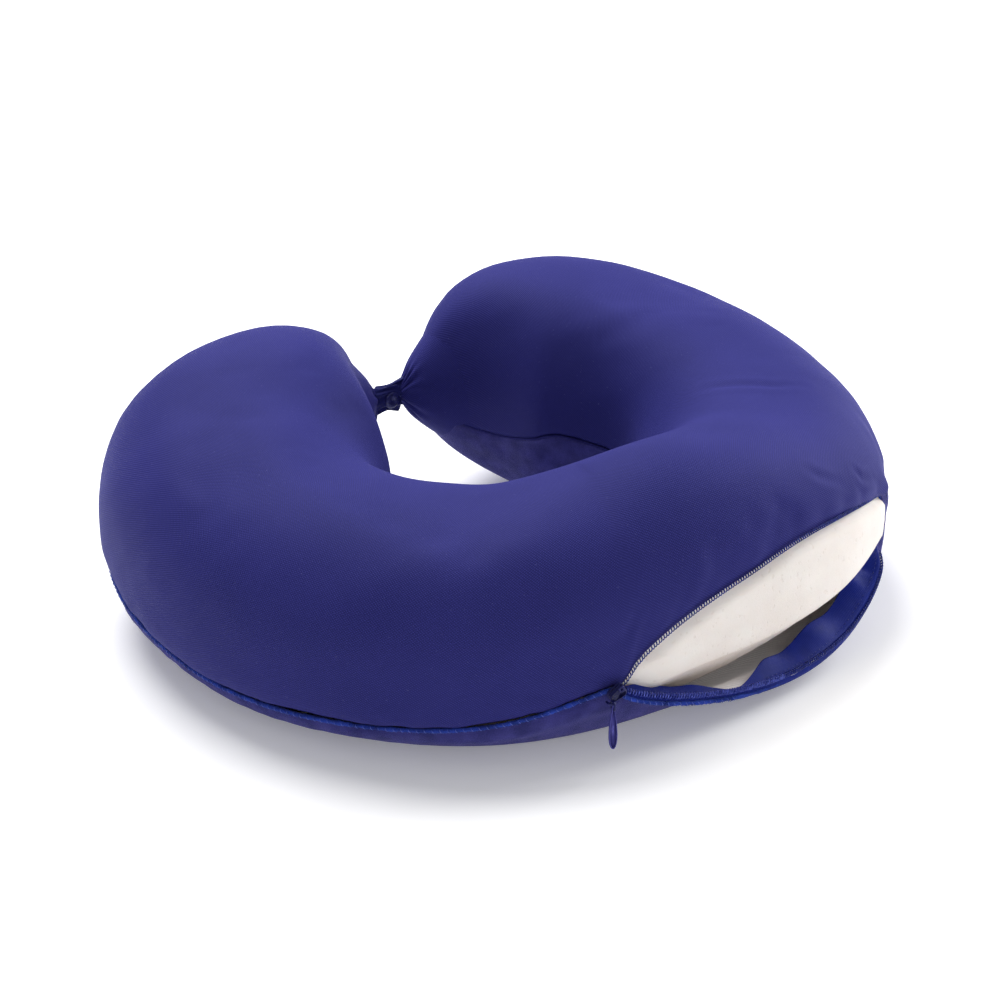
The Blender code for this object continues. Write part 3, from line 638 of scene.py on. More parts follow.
# ---- foam ----
def build_foam(u):
    angles = np.linspace(0, 360, FOAM_ROWS, endpoint=False)
    angles = 90 * np.floor(angles / 90) + 90 * ((angles % 90) / 90) ** 1.15
    turn = (angles + 180) % 360 - 180
    share = np.clip(mouth_share(u), 0, 1)[:, None]
    below_edge = eased(upper_edge(share) - 1.2 - turn[None, :], 0, 4.5)
    bare = below_edge * eased(share, 0.0, 0.12) * eased(1 - share, 0.0, 0.02)
    above_panel = eased(turn[None, :] - base_edge(share), -3.0, 4.0)
    fall, length, power = LIP_END_LINE
    lip_line = MOUTH_END_ANGLE - fall * ((1 - share) / length) ** power
    tucked = eased(lip_line - turn[None, :], -1.0, 3.0) * eased(share, 0.925, 0.965) * above_panel
    tucked = tucked * eased(1 - share, 0.0, 0.02) * inside_mouth(u)[:, None]
    bare = bare * above_panel * (turn > -100) * inside_mouth(u)[:, None] * (1 - tucked)
    depth = FOAM_DEPTH - (FOAM_DEPTH + FOAM_BULGE) * bare + FOAM_TUCK * tucked
    grid = skin(u[:, None], angles[None, :], depth, FOAM_BASE_FULLNESS)
    sweep = u * ARM_SWEEP
    rim, band = (smoothed_line(np.interp(sweep, RIM_SWEEPS, marks), 31)
                 for marks in (RIM_HEIGHTS, RIM_BANDS))
    band = band[:, None]
    radius = np.linalg.norm((grid - ARC_CENTRE)[..., :2], axis=-1)
    wall = along_arm(OUTER_RADII, u) - FOAM_DEPTH
    inset = np.maximum(wall[:, None] - radius, 0)
    under = rim[:, None] - RIM_BAND_SLOPE * np.minimum(inset, band)
    under -= UNDERSIDE_SLOPE * np.maximum(inset - band, 0)
    lift = (grid[..., 2] - under) / RIM_SOFTNESS
    raised = under + RIM_SOFTNESS * np.logaddexp(0, lift)
    grid[..., 2] = np.where(lift > 6, grid[..., 2], raised)
    normals = -grid_normals(grid)
    grid += 0.0003 * (ripple(grid, 0.035, 3) * np.ones(3)[:, None, None]).transpose(1, 2, 0) * normals
    points, faces = grid.reshape(-1, 3), grid_faces(len(u), FOAM_ROWS, closed=True)
    obj = mesh_object("foam", points, faces, FOAM)
    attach(obj, "pillow")
    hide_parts("foam_core")
    return obj


# ---- cover ----
CREASES = (
    # points along the crease as (sweep, section angle), width and depth in metres
    (((61, 112), (58, 98), (56, 84), (57, 73)), 0.0022, 0.00050),
    (((36, 38), (37, 32), (41, 27)), 0.0016, 0.00045),
    (((24, 50), (26, 44), (30, 38)), 0.0018, 0.00035),
    (((-24, -9), (-30, -4), (-38, 2)), 0.0030, 0.00040),
    (((47, 16), (53, 26), (57, 40)), 0.0032, 0.00055),
    (((50, 9), (60, 5), (72, 2)), 0.0036, 0.00060),
    (((150, 20), (158, 40), (160, 70)), 0.0030, 0.00045),
    (((-152, 25), (-158, 45), (-159, 72)), 0.0030, 0.00040),
)


def crease_field(grid, lines):
    field = np.zeros(grid.shape[:2])
    for marks, width, depth in lines:
        sweeps, angles = np.array(marks, float).T
        fine = np.linspace(0, 1, 24)
        known = np.linspace(0, 1, len(marks))
        line = skin(np.interp(fine, known, sweeps) / ARM_SWEEP, np.interp(fine, known, angles))
        near = np.full(grid.shape[:2], 1.0)
        place = np.zeros(grid.shape[:2])
        for share, point in zip(fine, line):
            distance = np.linalg.norm(grid - point, axis=-1)
            closer = distance < near
            near = np.where(closer, distance, near)
            place = np.where(closer, share, place)
        ends = np.sin(np.pi * np.clip(place, 0.06, 0.94)) ** 0.7
        field -= depth * ends * np.exp(-(near / width) ** 2)
        field += 0.6 * depth * ends * np.exp(-((near - 2.1 * width) / (1.2 * width)) ** 2)
    return field


def top_edge(u):
    share = np.clip(mouth_share(u), 0, 1)
    clear = -0.15 - 1.05 * eased(share, 0.50, 0.80)
    open_edge = upper_edge(share) + clear * bump(share) ** 0.3
    return np.where(inside_mouth(u), open_edge, seam_angle(u) + PANEL_GAP)


def corner_bump(points, reach):
    """The corner of the open mouth is pulled out to a small point."""
    corner = skin(mouth_u(1.0), MOUTH_END_ANGLE)
    distance = np.linalg.norm(points - corner, axis=-1)
    return reach * np.exp(-(distance / 0.0065) ** 1.6)


def simulated_relief(grid, normals):
    """Height field of the upper panel after a short cloth run with its seams held and air under it."""
    columns = np.linspace(4, len(grid) - 5, SIM_COLUMNS).astype(int)
    rows = np.linspace(0, grid.shape[1] - 1, SIM_ROWS).astype(int)
    coarse, facing = grid[np.ix_(columns, rows)], normals[np.ix_(columns, rows)]
    obj = mesh_object("cloth_run", coarse.reshape(-1, 3), grid_faces(SIM_COLUMNS, SIM_ROWS), KNIT)
    held = obj.vertex_groups.new(name="held")
    index = np.arange(SIM_COLUMNS * SIM_ROWS).reshape(SIM_COLUMNS, SIM_ROWS)
    rim = np.concatenate([index[0], index[-1], index[:, 0], index[:, -1]])
    held.add([int(i) for i in rim], 1.0, "REPLACE")
    cloth = obj.modifiers.new("cloth", "CLOTH")
    settings = cloth.settings
    settings.quality = 6
    settings.mass = 0.2
    settings.tension_stiffness = settings.compression_stiffness = 12
    settings.bending_stiffness = 0.05
    settings.shrink_min = settings.shrink_max = -0.035
    settings.use_pressure = True
    settings.uniform_pressure_force = 0.6 * outward_sign(normals, grid)
    settings.vertex_group_mass = "held"
    settings.effector_weights.gravity = 0
    scene = bpy.context.scene
    for step in range(1, SIM_FRAMES + 1):
        scene.frame_set(step)
    moved = np.empty(SIM_COLUMNS * SIM_ROWS * 3, np.float32)
    shown = obj.evaluated_get(bpy.context.evaluated_depsgraph_get())
    shown.data.vertices.foreach_get("co", moved)
    scene.frame_set(1)
    bpy.data.objects.remove(obj)
    lift = np.sum((moved.reshape(coarse.shape) - coarse) * facing, -1) * outward_sign(normals, grid)
    lift -= np.median(lift)
    lift = SIM_CAP * np.tanh(lift / SIM_CAP)
    wide = np.array([np.interp(np.arange(len(grid)), columns, column) for column in lift.T]).T
    fine = np.array([np.interp(np.arange(grid.shape[1]), rows, line) for line in wide])
    return smoothed(fine, 7)


def smoothed(field, width):
    kernel = np.hanning(width + 2)[1:-1]
    kernel = kernel / kernel.sum()
    half = width // 2
    for axis in (0, 1):
        pad = [(half, half) if axis == other else (0, 0) for other in (0, 1)]
        wide = np.pad(field, pad, mode="edge")
        field = np.apply_along_axis(lambda line: np.convolve(line, kernel, "valid"), axis, wide)
    return field


def build_cover_top(u):
    dense = np.linspace(0, 1, DENSE_ROWS)[None, :]
    start, end = top_edge(u)[:, None], inner_seam(u)[:, None] - PANEL_GAP
    grid = even_rows(skin(u[:, None], start + (end - start) * dense), TOP_ROWS)
    normals = grid_normals(grid)
    outside = outward_of(grid)
    seam = row_lengths(grid)
    inner = seam[:, -1:] - seam
    open_part = smoothed_line(np.where(inside_mouth(u), 1.0, 0.0), 9)[:, None]
    shrink = tip_scale(u)[:, None]
    pucker = ripple(grid, 0.0065, 21)
    height = 0.00055 * ripple(grid, 0.046, 5) + 0.00012 * ripple(grid, 0.016, 6)
    height += crease_field(grid, CREASES)
    height -= (1 - open_part) * 0.0013 * np.exp(-(seam / 0.0016) ** 2)
    height += (1 - open_part) * 0.00035 * pucker * np.exp(-seam / 0.006)
    height -= open_part * 0.0006 * np.exp(-(seam / 0.0030) ** 2)
    height -= 0.0007 * np.exp(-(inner / 0.0012) ** 2) - 0.0002 * pucker * np.exp(-inner / 0.006)
    height += simulated_relief(grid, normals)
    grid = grid + normals * (height * shrink ** 0.5)[..., None] * outward_sign(normals, grid)
    grid = grid + outside * corner_bump(grid, CORNER_REACH)[..., None]
    grid[0], grid[-1] = grid[0].mean(0), grid[-1].mean(0)
    obj = sheet_object("cover_top_knit", grid, COVER_THICKNESS, KNIT, outward_sign(normals, grid))
    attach(obj, "pillow")
    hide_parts("cover_top")
    return obj, grid


def outward_sign(normals, grid):
    """1 if a grid's own normals point away from the middle of the ring's section, or -1."""
    middle = len(grid) // 3
    ring = (grid[middle] - ARC_CENTRE) * (1, 1, 0)
    centre = unit(ring.mean(0)) * 0.1 + ARC_CENTRE + np.array((0, 0, 0.042))
    return 1 if np.sum(normals[middle] * (grid[middle] - centre)) > 0 else -1


def build_cover_base(u):
    """Base panel and, in the mouth, its loose lip out to the lower row of teeth."""
    share = np.clip(mouth_share(u), 0, 1)
    opened = inside_mouth(u)
    end = np.where(opened, base_edge(share), seam_angle(u) - PANEL_GAP)[:, None] + 360
    start = inner_seam(u)[:, None] + PANEL_GAP
    dense = np.linspace(0, 1, DENSE_ROWS)[None, :]
    panel = skin(u[:, None], start + (end - start) * dense)
    root, before = panel[:, -1], panel[:, -6]
    edge = np.where(opened[:, None], lip_point(share, 0.0004, 0.0022), root)
    reach = np.linalg.norm(edge - root, axis=-1, keepdims=True)
    control = root + unit(root - before) * reach * 0.45
    control[:, 2] = np.maximum(control[:, 2], 0.0016)
    t = np.linspace(0, 1, 120)[1:][None, :, None]
    lip = (1 - t) ** 2 * root[:, None] + 2 * t * (1 - t) * control[:, None] + t * t * edge[:, None]
    grid = even_rows(np.concatenate([panel, lip], axis=1), BASE_ROWS)
    normals = grid_normals(grid)
    sign = outward_sign(normals, grid)
    length = row_lengths(grid)
    seam = length[:, -1:] - length
    shrink = tip_scale(u)[:, None]
    pucker = ripple(grid, 0.0075, 31)
    closed = smoothed_line(np.where(opened, 0.0, 1.0), 9)[:, None]
    rolls = 0.75 + 0.25 * ripple(grid, 0.060, 35)
    height = closed * rolls * 0.0014 * np.exp(-((seam - 0.0060) / 0.0038) ** 2)
    height -= closed * 0.0011 * np.exp(-(seam / 0.0014) ** 2)
    height += 0.00040 * pucker * np.exp(-seam / 0.0075)
    height += (1 - closed) * 0.0006 * ripple(grid, 0.020, 36) * np.exp(-seam / 0.010)
    height -= 0.0007 * np.exp(-(length / 0.0012) ** 2)
    grid = grid + normals * sign * (height * shrink ** 0.5)[..., None]
    grid = grid - outward_of(grid) * corner_bump(grid, CORNER_SINK)[..., None]
    grid[..., 2] = np.maximum(grid[..., 2], 0.0002)
    grid[0], grid[-1] = grid[0].mean(0), grid[-1].mean(0)
    obj = sheet_object("cover_base_velour", grid, COVER_THICKNESS, VELOUR, sign, LINING)
    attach(obj, "pillow")
    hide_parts("cover_base", "cover_lower_lip")
    return obj, grid


# ---- seam piping, pile tufts and stitches ----
def seam_lines():
    left = np.linspace(-0.985, mouth_u(0.0), 260)
    right = np.linspace(mouth_u(1.0), 0.985, 220)
    shares = np.linspace(0, 1, 200)[1:-1]
    sunk = eased(shares, 0.25, 0.55)
    mouth = lip_point(shares, -0.0007 + 0.0009 * sunk, 0.0024 + 0.0002 * sunk)
    right_line = skin(right, seam_angle(right), 0.0004)
    right_line -= outward_of(right_line) * corner_bump(right_line, CORNER_SINK)[:, None]
    outer = np.concatenate([skin(left, seam_angle(left), 0.0004), mouth, right_line])
    ring = np.linspace(-0.985, 0.985, 500)
    inner = skin(ring, inner_seam(ring), 0.0011)
    return even_path(outer, PIPING_STEP), even_path(inner, WELT_STEP)


def tufts(path, radius, count, seed):
    """Short tapered fibres that stand off a ridge."""
    made = np.random.default_rng(seed)
    place = made.uniform(1, len(path) - 2, count)
    index = place.astype(int)
    share = (place - index)[:, None]
    centre = path[index] * (1 - share) + path[index + 1] * share
    tangent = unit(path[index + 1] - path[index])
    out = unit(made.normal(size=(count, 3)) + 0.9 * outward_of(centre))
    out = unit(out - tangent * np.sum(out * tangent, -1, keepdims=True))
    lean = unit(out + 0.5 * made.normal(size=(count, 3)))
    side = unit(np.cross(lean, tangent + 0.01))
    other = np.cross(lean, side)
    foot = centre + out * radius * 0.8
    width = made.uniform(0.00006, 0.00012, count)[:, None]
    tip = foot + lean * made.uniform(0.0004, 0.0010, count)[:, None]
    points = np.stack([foot + side * width, foot - side * width * 0.5 + other * width,
                       foot - side * width * 0.5 - other * width, tip], 1).reshape(-1, 3)
    faces = []
    for i in range(count):
        a = 4 * i
        faces += [(a, a + 1, a + 3), (a + 1, a + 2, a + 3), (a + 2, a, a + 3), (a + 2, a + 1, a)]
    return points, faces


def stitches(path, pitch, length, radius, slant, lift):
    """Short raised threads across or along a seam line."""
    line = even_path(path, pitch)
    tangent = unit(np.gradient(line, axis=0))
    out = outward_of(line)
    across = unit(np.cross(tangent, out))
    parts = []
    for point, t, a, o in zip(line[1:-1], tangent[1:-1], across[1:-1], out[1:-1]):
        direction = unit(t * math.cos(slant) + a * math.sin(slant))
        steps = np.linspace(-0.5, 0.5, 7)[:, None]
        arch = (1 - (2 * steps) ** 2) * 0.35 * length + lift
        thread = point + direction * steps * length + o * arch
        thin = radius * np.sqrt(np.clip(1.02 - (2 * steps[:, 0]) ** 2, 0.15, 1))
        parts.append(tube_mesh(thread, thin, sides=6))
    return merge(parts)


def build_seams():
    outer, inner = seam_lines()
    start, corner = lip_point(0.30, 0.0, 0.0), skin(mouth_u(1.0), MOUTH_END_ANGLE)
    ahead, behind = (int(np.argmin(np.linalg.norm(outer - place, axis=-1))) for place in (start, corner))
    index = np.arange(len(outer))
    slim = eased(index, ahead, ahead + 20) * eased(-index, -behind - 20, -behind)
    ridge = PIPING_RADIUS * (1 + 0.26 * ripple(outer, 0.005, 41) + 0.20 * ripple(outer, 0.0017, 42))
    ridge = ridge * (1 - 0.45 * slim)
    points, faces = merge([tube_mesh(outer, ridge, sides=10), tufts(outer[:ahead], PIPING_RADIUS, 5000, 44),
                           tufts(outer[behind:], PIPING_RADIUS, 1400, 45)])
    piping = mesh_object("seam_velour_edge", points, faces, PIPING)
    welt = mesh_object("inner_seam_welt",
                       *tube_mesh(inner, 0.0005 * (1 + 0.15 * ripple(inner, 0.004, 43)), sides=8), KNIT)
    thread = mesh_object("seam_stitches",
                         *merge([stitches(line, 0.0027, 0.0016, 0.00014, math.radians(58), 0.00050)
                                 for line in (outer[:ahead], outer[behind:])]), THREAD)
    for obj in (piping, welt, thread):
        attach(obj, "pillow")
    return piping, welt, thread


# ---- zip tapes and teeth ----
def tape_width(share):
    """Free width of the lower tape: slim by the slider, rolled back once, broad past the middle."""
    shares = (0.0, 0.03, 0.10, 0.18, 0.235, 0.275, 0.31, 0.36, 0.42, 0.52, 0.66, 0.78, 0.86, 0.93, 1.0)
    widths = (0.6, 3.2, 5.0, 4.6, 2.2, 0.9, 1.3, 4.4, 7.6, 9.6, 9.9, 8.6, 7.6, 5.2, 1.5)
    return smoothed_line(np.interp(share, shares, widths), 11) / 1000


def build_tapes():
    share = np.linspace(0.01, 0.995, 260)
    width = tape_width(share)[:, None]
    rows = np.concatenate([[-0.0030, -0.0020, -0.0010], np.linspace(0, 1, TAPE_ROWS)])[None, :]
    v, hem = np.maximum(rows, 0), np.maximum(-rows, 0)
    inward = 0.0003 + width * v - 0.35 * hem
    fold = 0.0015 * np.sin(2 * math.pi * (share * 5.2 + 0.1))[:, None] * v ** 1.5
    fold += 0.0018 * np.exp(-((share - 0.80) / 0.022) ** 2)[:, None] * v ** 1.2
    fold -= 0.0026 * np.exp(-((share - 0.86) / 0.016) ** 2)[:, None] * v ** 1.2
    fold += 0.0010 * np.exp(-((share - 0.62) / 0.045) ** 2)[:, None] * np.sin(np.pi * v)
    rise = width * (0.34 * v + 0.12 * v * v) + fold * (width / 0.0100) - hem
    grid = lip_point(np.broadcast_to(share[:, None], inward.shape), inward, -rise)
    lower = sheet_object("zip_tape_lower_satin", grid, TAPE_THICKNESS, SATIN, upward_sign(grid))
    share = np.linspace(0.012, 0.960, 200)
    v = np.linspace(-0.08, 1, 12)[None, :]
    angle = upper_edge(share)[:, None] + 7.0 * bump(share)[:, None] ** 0.4 * v
    grid = skin(mouth_u(share)[:, None], angle, np.full(angle.shape, TAPE_DEPTH))
    grid += outward_of(grid) * corner_bump(grid, ZIP_CORNER_REACH)[..., None]
    normals = grid_normals(grid)
    upper = sheet_object("zip_tape_upper_satin", grid, TAPE_THICKNESS, SATIN, outward_sign(normals, grid))
    for obj, node in ((lower, "zip_tape_lower"), (upper, "zip_tape_upper")):
        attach(obj, "pillow")
        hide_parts(node)


def upward_sign(grid):
    return 1 if grid_normals(grid)[..., 2].mean() > 0 else -1


def coil_mesh(path, across, normal, reach, rise, wire):
    """Nylon coil: a flattened spiral whose heads stand out along across."""
    length = path_lengths(path)
    turns = length[-1] / COIL_PITCH
    samples = int(turns * 12)
    place = np.linspace(0, length[-1], samples)

    def at(values):
        return np.stack([np.interp(place, length, values[:, axis]) for axis in range(3)], -1)

    phase = 2 * math.pi * place / COIL_PITCH
    line = at(path) + unit(at(across)) * (reach * np.cos(phase))[:, None]
    line = line + unit(at(normal)) * (rise * np.sin(phase))[:, None]
    return tube_mesh(line, wire, sides=6)


def second_material(obj, material, share):
    """Faces past a share of a tube's length get a second material."""
    obj.data.materials.append(material)
    count = len(obj.data.polygons)
    past = np.arange(count) > share * count
    obj.data.polygons.foreach_set("material_index", past.astype(np.int32))


def build_teeth():
    share = np.linspace(0.012, 0.915, 420)
    lower = lip_point(share, -0.0004, -0.0004 + 0.0026 * eased(share, 0.50, 0.84))
    out = outward_of(lower)
    tilt = unit(out * 0.35 + UP * 0.94)
    crown = unit(UP * 0.35 - out * 0.94)
    lower_coil = mesh_object("zip_teeth_lower", *coil_mesh(lower, tilt, crown, 0.0012, 0.0006,
                                                        COIL_WIRE * 1.2), TEETH_PAINTED_LIT)
    # The first part of the lower coil keeps the painted-highlight nylon; the rest takes the plain nylon.
    second_material(lower_coil, TEETH, 0.48)
    share = np.linspace(0.008, 0.965, 420)
    u, angle = mouth_u(share), upper_edge(share)
    centre = skin(u, angle, 0.0003 + 0.0013 * eased(share, 0.62, 0.86))
    centre += outward_of(centre) * corner_bump(centre, ZIP_CORNER_REACH)[:, None]
    normal = skin_normal(u, angle)
    down = unit(skin(u, angle - 1) - skin(u, angle))
    upper_coil = mesh_object("zip_teeth_upper", *coil_mesh(centre + down * 0.0001, down, normal, 0.0007,
                                                           0.00050, COIL_WIRE), TEETH)
    lines = [lip_point(np.linspace(start, end, 200), 0.0020, -0.00085)
             for start, end in ((0.04, 0.20), (0.38, 0.94))]
    threads = merge([stitches(line, 0.0021, 0.0014, 0.00011, 0.0, 0.0) for line in lines])
    thread = mesh_object("zip_tape_stitches", *threads, TEETH)
    for obj, node in ((lower_coil, "zip_coil_lower"), (upper_coil, "zip_coil_upper")):
        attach(obj, "pillow")
        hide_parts(node)
    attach(thread, "pillow")


# ---- slider, bail, link and puller ----
def slider_frame():
    u, angle = mouth_u(-SLIDER_BACK), mouth_base_angle(-SLIDER_BACK)
    normal = skin_normal(u, angle)
    out = unit(normal * (1, 1, 0))
    along = np.cross(UP, out)
    centre = skin(u, angle) + out * SLIDER_STANDOFF
    return centre, along, UP, out


def put(points, origin, x, y, z):
    points = np.asarray(points, float)
    return origin + points[:, :1] * x + points[:, 1:2] * y + points[:, 2:] * z


def lathe(profile, sides=40):
    """Solid of revolution about Z from (radius, height) pairs."""
    profile = np.asarray(profile, float)
    turns = np.linspace(0, 2 * math.pi, sides, endpoint=False)
    ring = np.stack([np.cos(turns), np.sin(turns)], -1)
    points = np.concatenate([np.c_[ring * radius, np.full(sides, height)] for radius, height in profile])
    faces = [f[::-1] for f in grid_faces(len(profile), sides, closed=True)]
    faces += [tuple(range(sides)), tuple((len(profile) - 1) * sides + j for j in range(sides))[::-1]]
    return points, faces


def loft(rings):
    rings = np.asarray(rings, float)
    count, sides = rings.shape[:2]
    faces = grid_faces(count, sides, closed=True)
    faces += [tuple(range(sides))[::-1], tuple((count - 1) * sides + j for j in range(sides))]
    return rings.reshape(-1, 3), faces


def rounded_outline(length, front, rear, corner, steps=14):
    """Plan of the slider: broad at the front, narrow at the rear, as (x, y) pairs."""
    turns = np.linspace(0, 2 * math.pi, 4 * steps, endpoint=False)
    x = signed_power(np.cos(turns), corner) * length / 2
    half = (rear + (front - rear) * (x / length + 0.5)) / 2
    return np.stack([x, signed_power(np.sin(turns), corner) * half], -1)


def build_slider():
    centre, along, up, out = slider_frame()
    plates = []
    for low, high, front, rear in ((-0.0016, -0.0006, 0.0050, 0.0035), (0.0006, 0.0016, 0.0048, 0.0033)):
        outline = rounded_outline(SLIDER_LENGTH, front, rear, 0.55)
        levels = ((low, 0.86), (low + 0.0002, 0.97), (low + 0.0005, 1.0), (high - 0.0003, 1.0),
                  (high - 0.0001, 0.95), (high, 0.84))
        plates.append(loft([np.c_[outline * scale, np.full(len(outline), z)] for z, scale in levels]))
    neck_outline = rounded_outline(0.0030, 0.0022, 0.0012, 0.7) + (0.0022, 0)
    plates.append(loft([np.c_[neck_outline, np.full(len(neck_outline), z)] for z in (-0.0010, 0.0010)]))
    rivet, faces = lathe(((0.0013, 0.0014), (0.0013, 0.0018), (0.0011, 0.0021), (0.0006, 0.0022),
                          (0.0005, 0.0019), (0.0001, 0.0018)), 28)
    plates.append((rivet + (0.0019, 0.0012, 0.0), faces))
    for side in (-1, 1):
        x = np.linspace(-0.0026, 0.0029, 20)
        half = (0.0033 + 0.0015 * (x / SLIDER_LENGTH + 0.5)) / 2 - 0.0003
        plates.append(tube_mesh(np.c_[x, side * half, np.full(20, 0.0003)], 0.00042, sides=8))
    points, faces = merge(plates)
    front = along * math.cos(SLIDER_TILT) + up * math.sin(SLIDER_TILT)
    points = put(points, centre + front * 0.0012 + up * 0.0004, front, np.cross(out, front), out)
    body = mesh_object("zip_slider_body", points, faces, METAL)
    turns = np.linspace(0, math.pi, 30)
    arch = np.c_[-0.0022 - 0.0013 * np.cos(turns), np.full(30, -0.0008),
                 0.0018 + 0.0020 * np.sin(turns) ** 0.7]
    foot = arch[[0, -1]] - (0, 0, 0.0006)
    wire = np.concatenate([foot[:1], arch, foot[1:]])
    wide = 0.00042 * (1 + 0.25 * np.sin(np.linspace(0, math.pi, 32)))
    points, faces = tube_mesh(wire, wide, sides=10)
    bail = mesh_object("zip_slider_arch", put(points, centre, along, up, out), faces, METAL)
    for obj, node in ((body, "zip_slider"), (bail, "zip_slider_bail")):
        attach(obj, "slider")
        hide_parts(node)
    build_puller(centre + out * 0.0038 - up * 0.0008 - along * 0.0022, along, up, out)


def puller_ring(scale, height, length=0.0175, width=0.0042, steps=72):
    turns = np.linspace(0, 2 * math.pi, steps, endpoint=False)
    drop = (1 - np.cos(turns)) / 2
    shape = 0.36 + 0.80 * np.clip(drop - 0.12, 0, 1) ** 0.9
    half = width / 2 * np.sin(turns) * np.minimum(shape, 1.02)
    middle = 0.0019 - length * 0.5
    y = 0.0019 - drop * length
    return np.c_[half * scale, middle + (y - middle) * (1 - (1 - scale) * 0.26), np.full(steps, height)]


def build_puller(bar, along, up, out):
    link_radius = 0.0016
    link_centre = bar - up * (link_radius - LINK_WIRE - 0.0004 - 0.0003)
    turns = np.linspace(0, 2 * math.pi, 40, endpoint=False)
    ring = link_centre + link_radius * (np.cos(turns)[:, None] * up + np.sin(turns)[:, None] * out)
    link = mesh_object("zip_puller_ring", *tube_mesh(ring, LINK_WIRE, sides=10, closed=True), METAL)
    origin = link_centre - up * link_radius
    thick = 0.00055
    rings = [puller_ring(0.70, -thick * 0.45), puller_ring(0.80, -thick), puller_ring(0.93, -thick * 0.9),
             puller_ring(1.0, 0.0), puller_ring(0.93, thick * 0.9), puller_ring(0.80, thick),
             puller_ring(0.70, thick * 0.45)]
    points, faces = loft(rings)
    plate = mesh_object("zip_puller_tag", put(points, origin, along, up, out), faces, PULLER)
    for obj, node, slot in ((link, "zip_puller_link", "zip_metal"), (plate, "zip_puller", "zip_metal")):
        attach(obj, "puller")
        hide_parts(node)


def build_end_stop():
    u = mouth_u(1.0)
    centre = skin(u, MOUTH_END_ANGLE) + outward_of(skin(u, MOUTH_END_ANGLE)) * 0.0006
    out = outward_of(centre)
    side = np.cross(UP, out)
    parts = []
    for step in range(7):
        height = (step - 4) * 0.00040
        bar = [centre + side * x + UP * height + out * (0.0005 - 120 * x * x)
               for x in np.linspace(-0.0010, 0.0010, 9)]
        parts.append(tube_mesh(bar, 0.00021, sides=6))
    stop = mesh_object("zip_end_bar_tack", *merge(parts), TEETH)
    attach(stop, "pillow")
    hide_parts("zip_end_stop")


# ---- front closure ----
def strap_rings(side, root, reach):
    """Gathered band of cover fabric: sections along X, folded round their outline."""
    turns = np.linspace(0, 2 * math.pi, 60, endpoint=False)
    rings = []
    for share in np.linspace(0.0, 1.0, 44):
        half = 0.0058 * (0.94 + 0.06 * math.cos(2 * math.pi * share)) + 0.0022 * math.exp(-share / 0.16)
        thick = 0.00160 + 0.0010 * math.exp(-share / 0.20)
        close = min(1.0, math.sqrt(max(0.0, (1.0 - share) / 0.10)))
        half, thick = half * (0.25 + 0.75 * close), thick * (0.15 + 0.85 * close)
        folds = 0.26 * np.cos(7 * turns + 3.0 * share + side) + 0.16 * np.cos(11 * turns - 5.0 * share)
        offset = side * 0.0019 * min(share * 2.7, 1.0)
        z = half * np.cos(turns) * (1 + 0.18 * folds)
        y = offset + thick * signed_power(np.sin(turns), 0.8) * (1 + folds)
        sway = 0.0007 * math.sin(5 * share + side)
        rings.append(np.c_[np.full(60, -side * reach * share), y, z + sway] + root)
    return rings


def build_collar(side, word):
    """The cover's cloth at an arm's tip, drawn into a gathered cone that follows the strap."""
    turns = np.linspace(math.pi / 2 - 0.0001, 0.62, 46)
    u = side * (TIP_START + (1 - TIP_START) * np.sin(turns) ** (2 / TIP_ROUNDNESS))
    angles = np.linspace(0, 360, 145)
    tip = skin(float(side), 0.0)
    grid = skin(u[:, None], angles[None, :], -0.0003)
    distance = np.linalg.norm(grid - tip, axis=-1)
    fade = 1 - eased(distance, *CONE_ENDS)
    pleats = 0.0005 * np.cos(np.radians(angles) * 13 + 0.8 * side)[None, :] * fade
    pleats = pleats * np.exp(-((distance - 0.007) / 0.005) ** 2)
    grid = skin(u[:, None], angles[None, :], 0.0016 * (1 - fade) - 0.0004 - pleats)
    grid[..., 0] -= side * CONE_REACH * np.exp(-distance / CONE_FADE) * fade
    grid = grid[distance.min(axis=1) < CONE_ENDS[1] + 0.002]
    collar = sheet_object(f"closure_collar_{word}", grid, COVER_THICKNESS * 0.3, KNIT, side)
    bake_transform(collar)
    return collar


def build_closure():
    for side, word in ((-1, "left"), (1, "right")):
        tip = skin(float(side), 0.0)
        root = np.array((tip[0] - side * 0.0022, tip[1], tip[2]))
        points, faces = loft(strap_rings(side, root, abs(root[0]) + 0.0055))
        strap = mesh_object(f"closure_strap_{word}", points, faces, STRAP, points[:, [0, 2]])
        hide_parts(f"strap_{word}")
        body = f"{word}_strap"
        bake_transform(strap)
        build_collar(side, word)
        cap_near = side * 0.0031
        dome = ((0.0036, 0.0), (0.0036, 0.0004), (0.0034, 0.0008), (0.0028, 0.00105), (0.0018, 0.00112),
                (0.0011, 0.00095), (0.0001, 0.0009))
        cap_points, cap_faces = lathe(dome)
        origin = np.array((0.0, root[1] + cap_near, root[2]))
        x, y, z = np.array((-side, 0, 0.0)), UP, np.array((0, side, 0.0))
        cap = mesh_object(f"snap_cap_{word}", put(cap_points, origin, x, y, z), cap_faces, SNAP)
        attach(cap, body)
        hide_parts("snap_post" if side < 0 else "snap_cap")
    for node in ("snap_stud", "snap_socket"):
        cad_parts[node].data.materials.clear()
        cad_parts[node].data.materials.append(SNAP)


# ---- studio ----
def area_light(name, location, target, size, power, colour=(1, 1, 1)):
    light = bpy.data.lights.new(name, "AREA")
    light.shape, light.size, light.energy, light.color = "DISK", size, power, colour
    obj = bpy.data.objects.new(name, light)
    bpy.context.scene.collection.objects.link(obj)
    obj.location = location
    obj.rotation_euler = (Vector(target) - Vector(location)).to_track_quat("-Z", "Y").to_euler()
    return obj


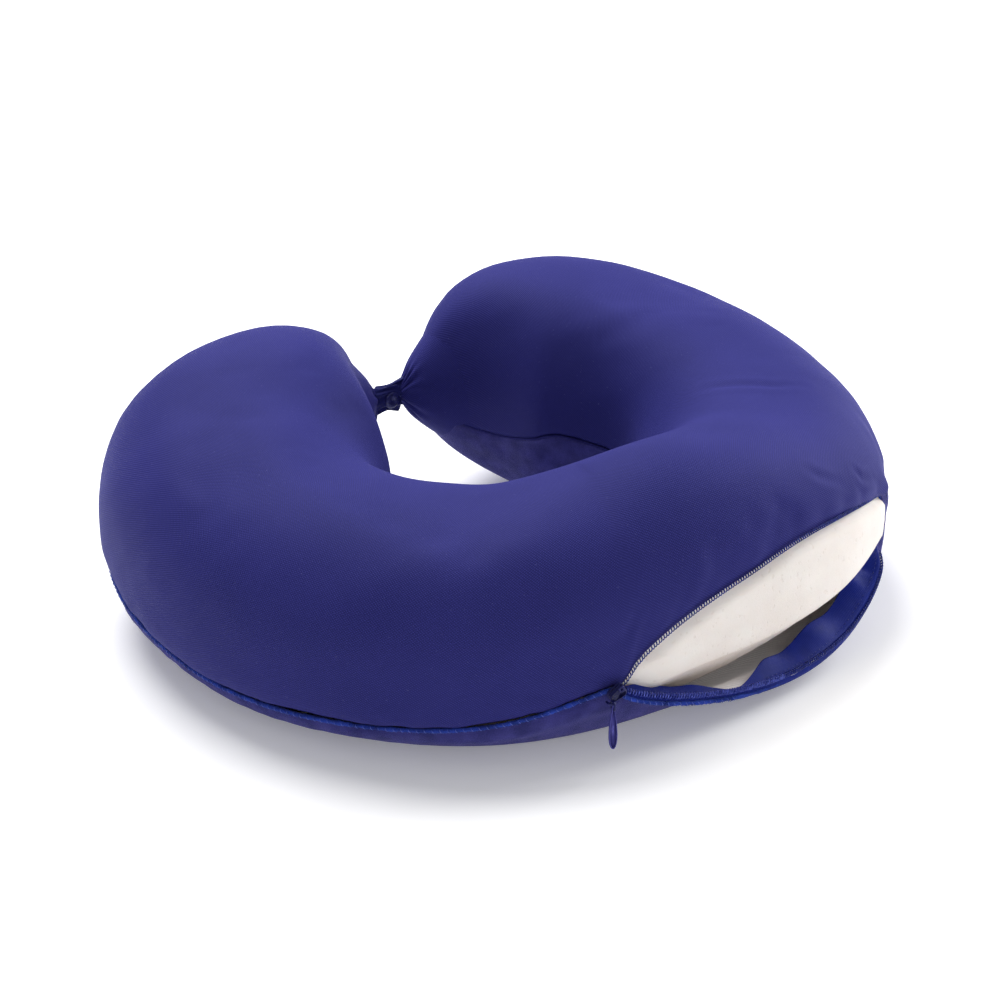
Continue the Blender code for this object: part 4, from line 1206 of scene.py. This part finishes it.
def build_studio():
    points = [(-6, -6, -0.0004), (6, -6, -0.0004), (6, 6, -0.0004), (-6, 6, -0.0004)]
    s = Surface("floor", Specular_IOR_Level=0.1)
    grain = s.noise(40.0, 2.0)
    colour = s.mix(s.spread(grain, 0.2, 0.8), (0.93, 0.93, 0.935), (0.95, 0.95, 0.955))
    s.feed(s.shader.inputs["Emission Color"], colour)
    s.shader.inputs["Emission Strength"].default_value = 0.20
    material = s.finish(colour, s.spread(grain, 0, 1, 0.85, 0.95), s.bump(grain, 0.0001, 0.1))
    floor = mesh_object("studio_floor", points, [(0, 1, 2, 3)], material)
    world = bpy.data.worlds.new("studio")
    world.use_nodes = True
    background = world.node_tree.nodes["Background"]
    background.inputs["Color"].default_value = (1.0, 1.0, 1.0, 1.0)
    background.inputs["Strength"].default_value = 0.40
    bpy.context.scene.world = world
    area_light("top_softbox", (0.03, 0.78, 1.38), (0.0, 0.02, 0.03), 1.2, 29)
    area_light("right_softbox", (1.4, -0.1, 0.75), (0, 0, 0.04), 0.9, 16)
    area_light("front_fill", (-0.5, -1.6, 0.9), (0, 0, 0.04), 0.9, 2.5)


def build_camera():
    camera = bpy.data.cameras.new("camera")
    camera.lens, camera.sensor_width = 86.12, 36.0
    camera.shift_x, camera.shift_y = -0.0059, -0.0257
    camera.clip_start, camera.clip_end = 0.05, 50.0
    obj = bpy.data.objects.new("camera", camera)
    bpy.context.scene.collection.objects.link(obj)
    right, up = Vector((0.80881, -0.58792, -0.01347)), Vector((0.25667, 0.33231, 0.90757))
    axes = Matrix((right, up, right.cross(up))).transposed().to_4x4()
    obj.matrix_world = Matrix.Translation((-0.49575, -0.67652, 0.44122)) @ axes
    bpy.context.scene.camera = obj


stations = fine_stations()
build_foam(stations)
cover_top, top_grid = build_cover_top(stations)
cover_base, base_grid = build_cover_base(stations)
build_seams()
build_tapes()
build_teeth()
build_slider()
build_end_stop()
build_closure()
build_studio()
build_camera()
bpy.context.scene.view_settings.view_transform = "Standard"
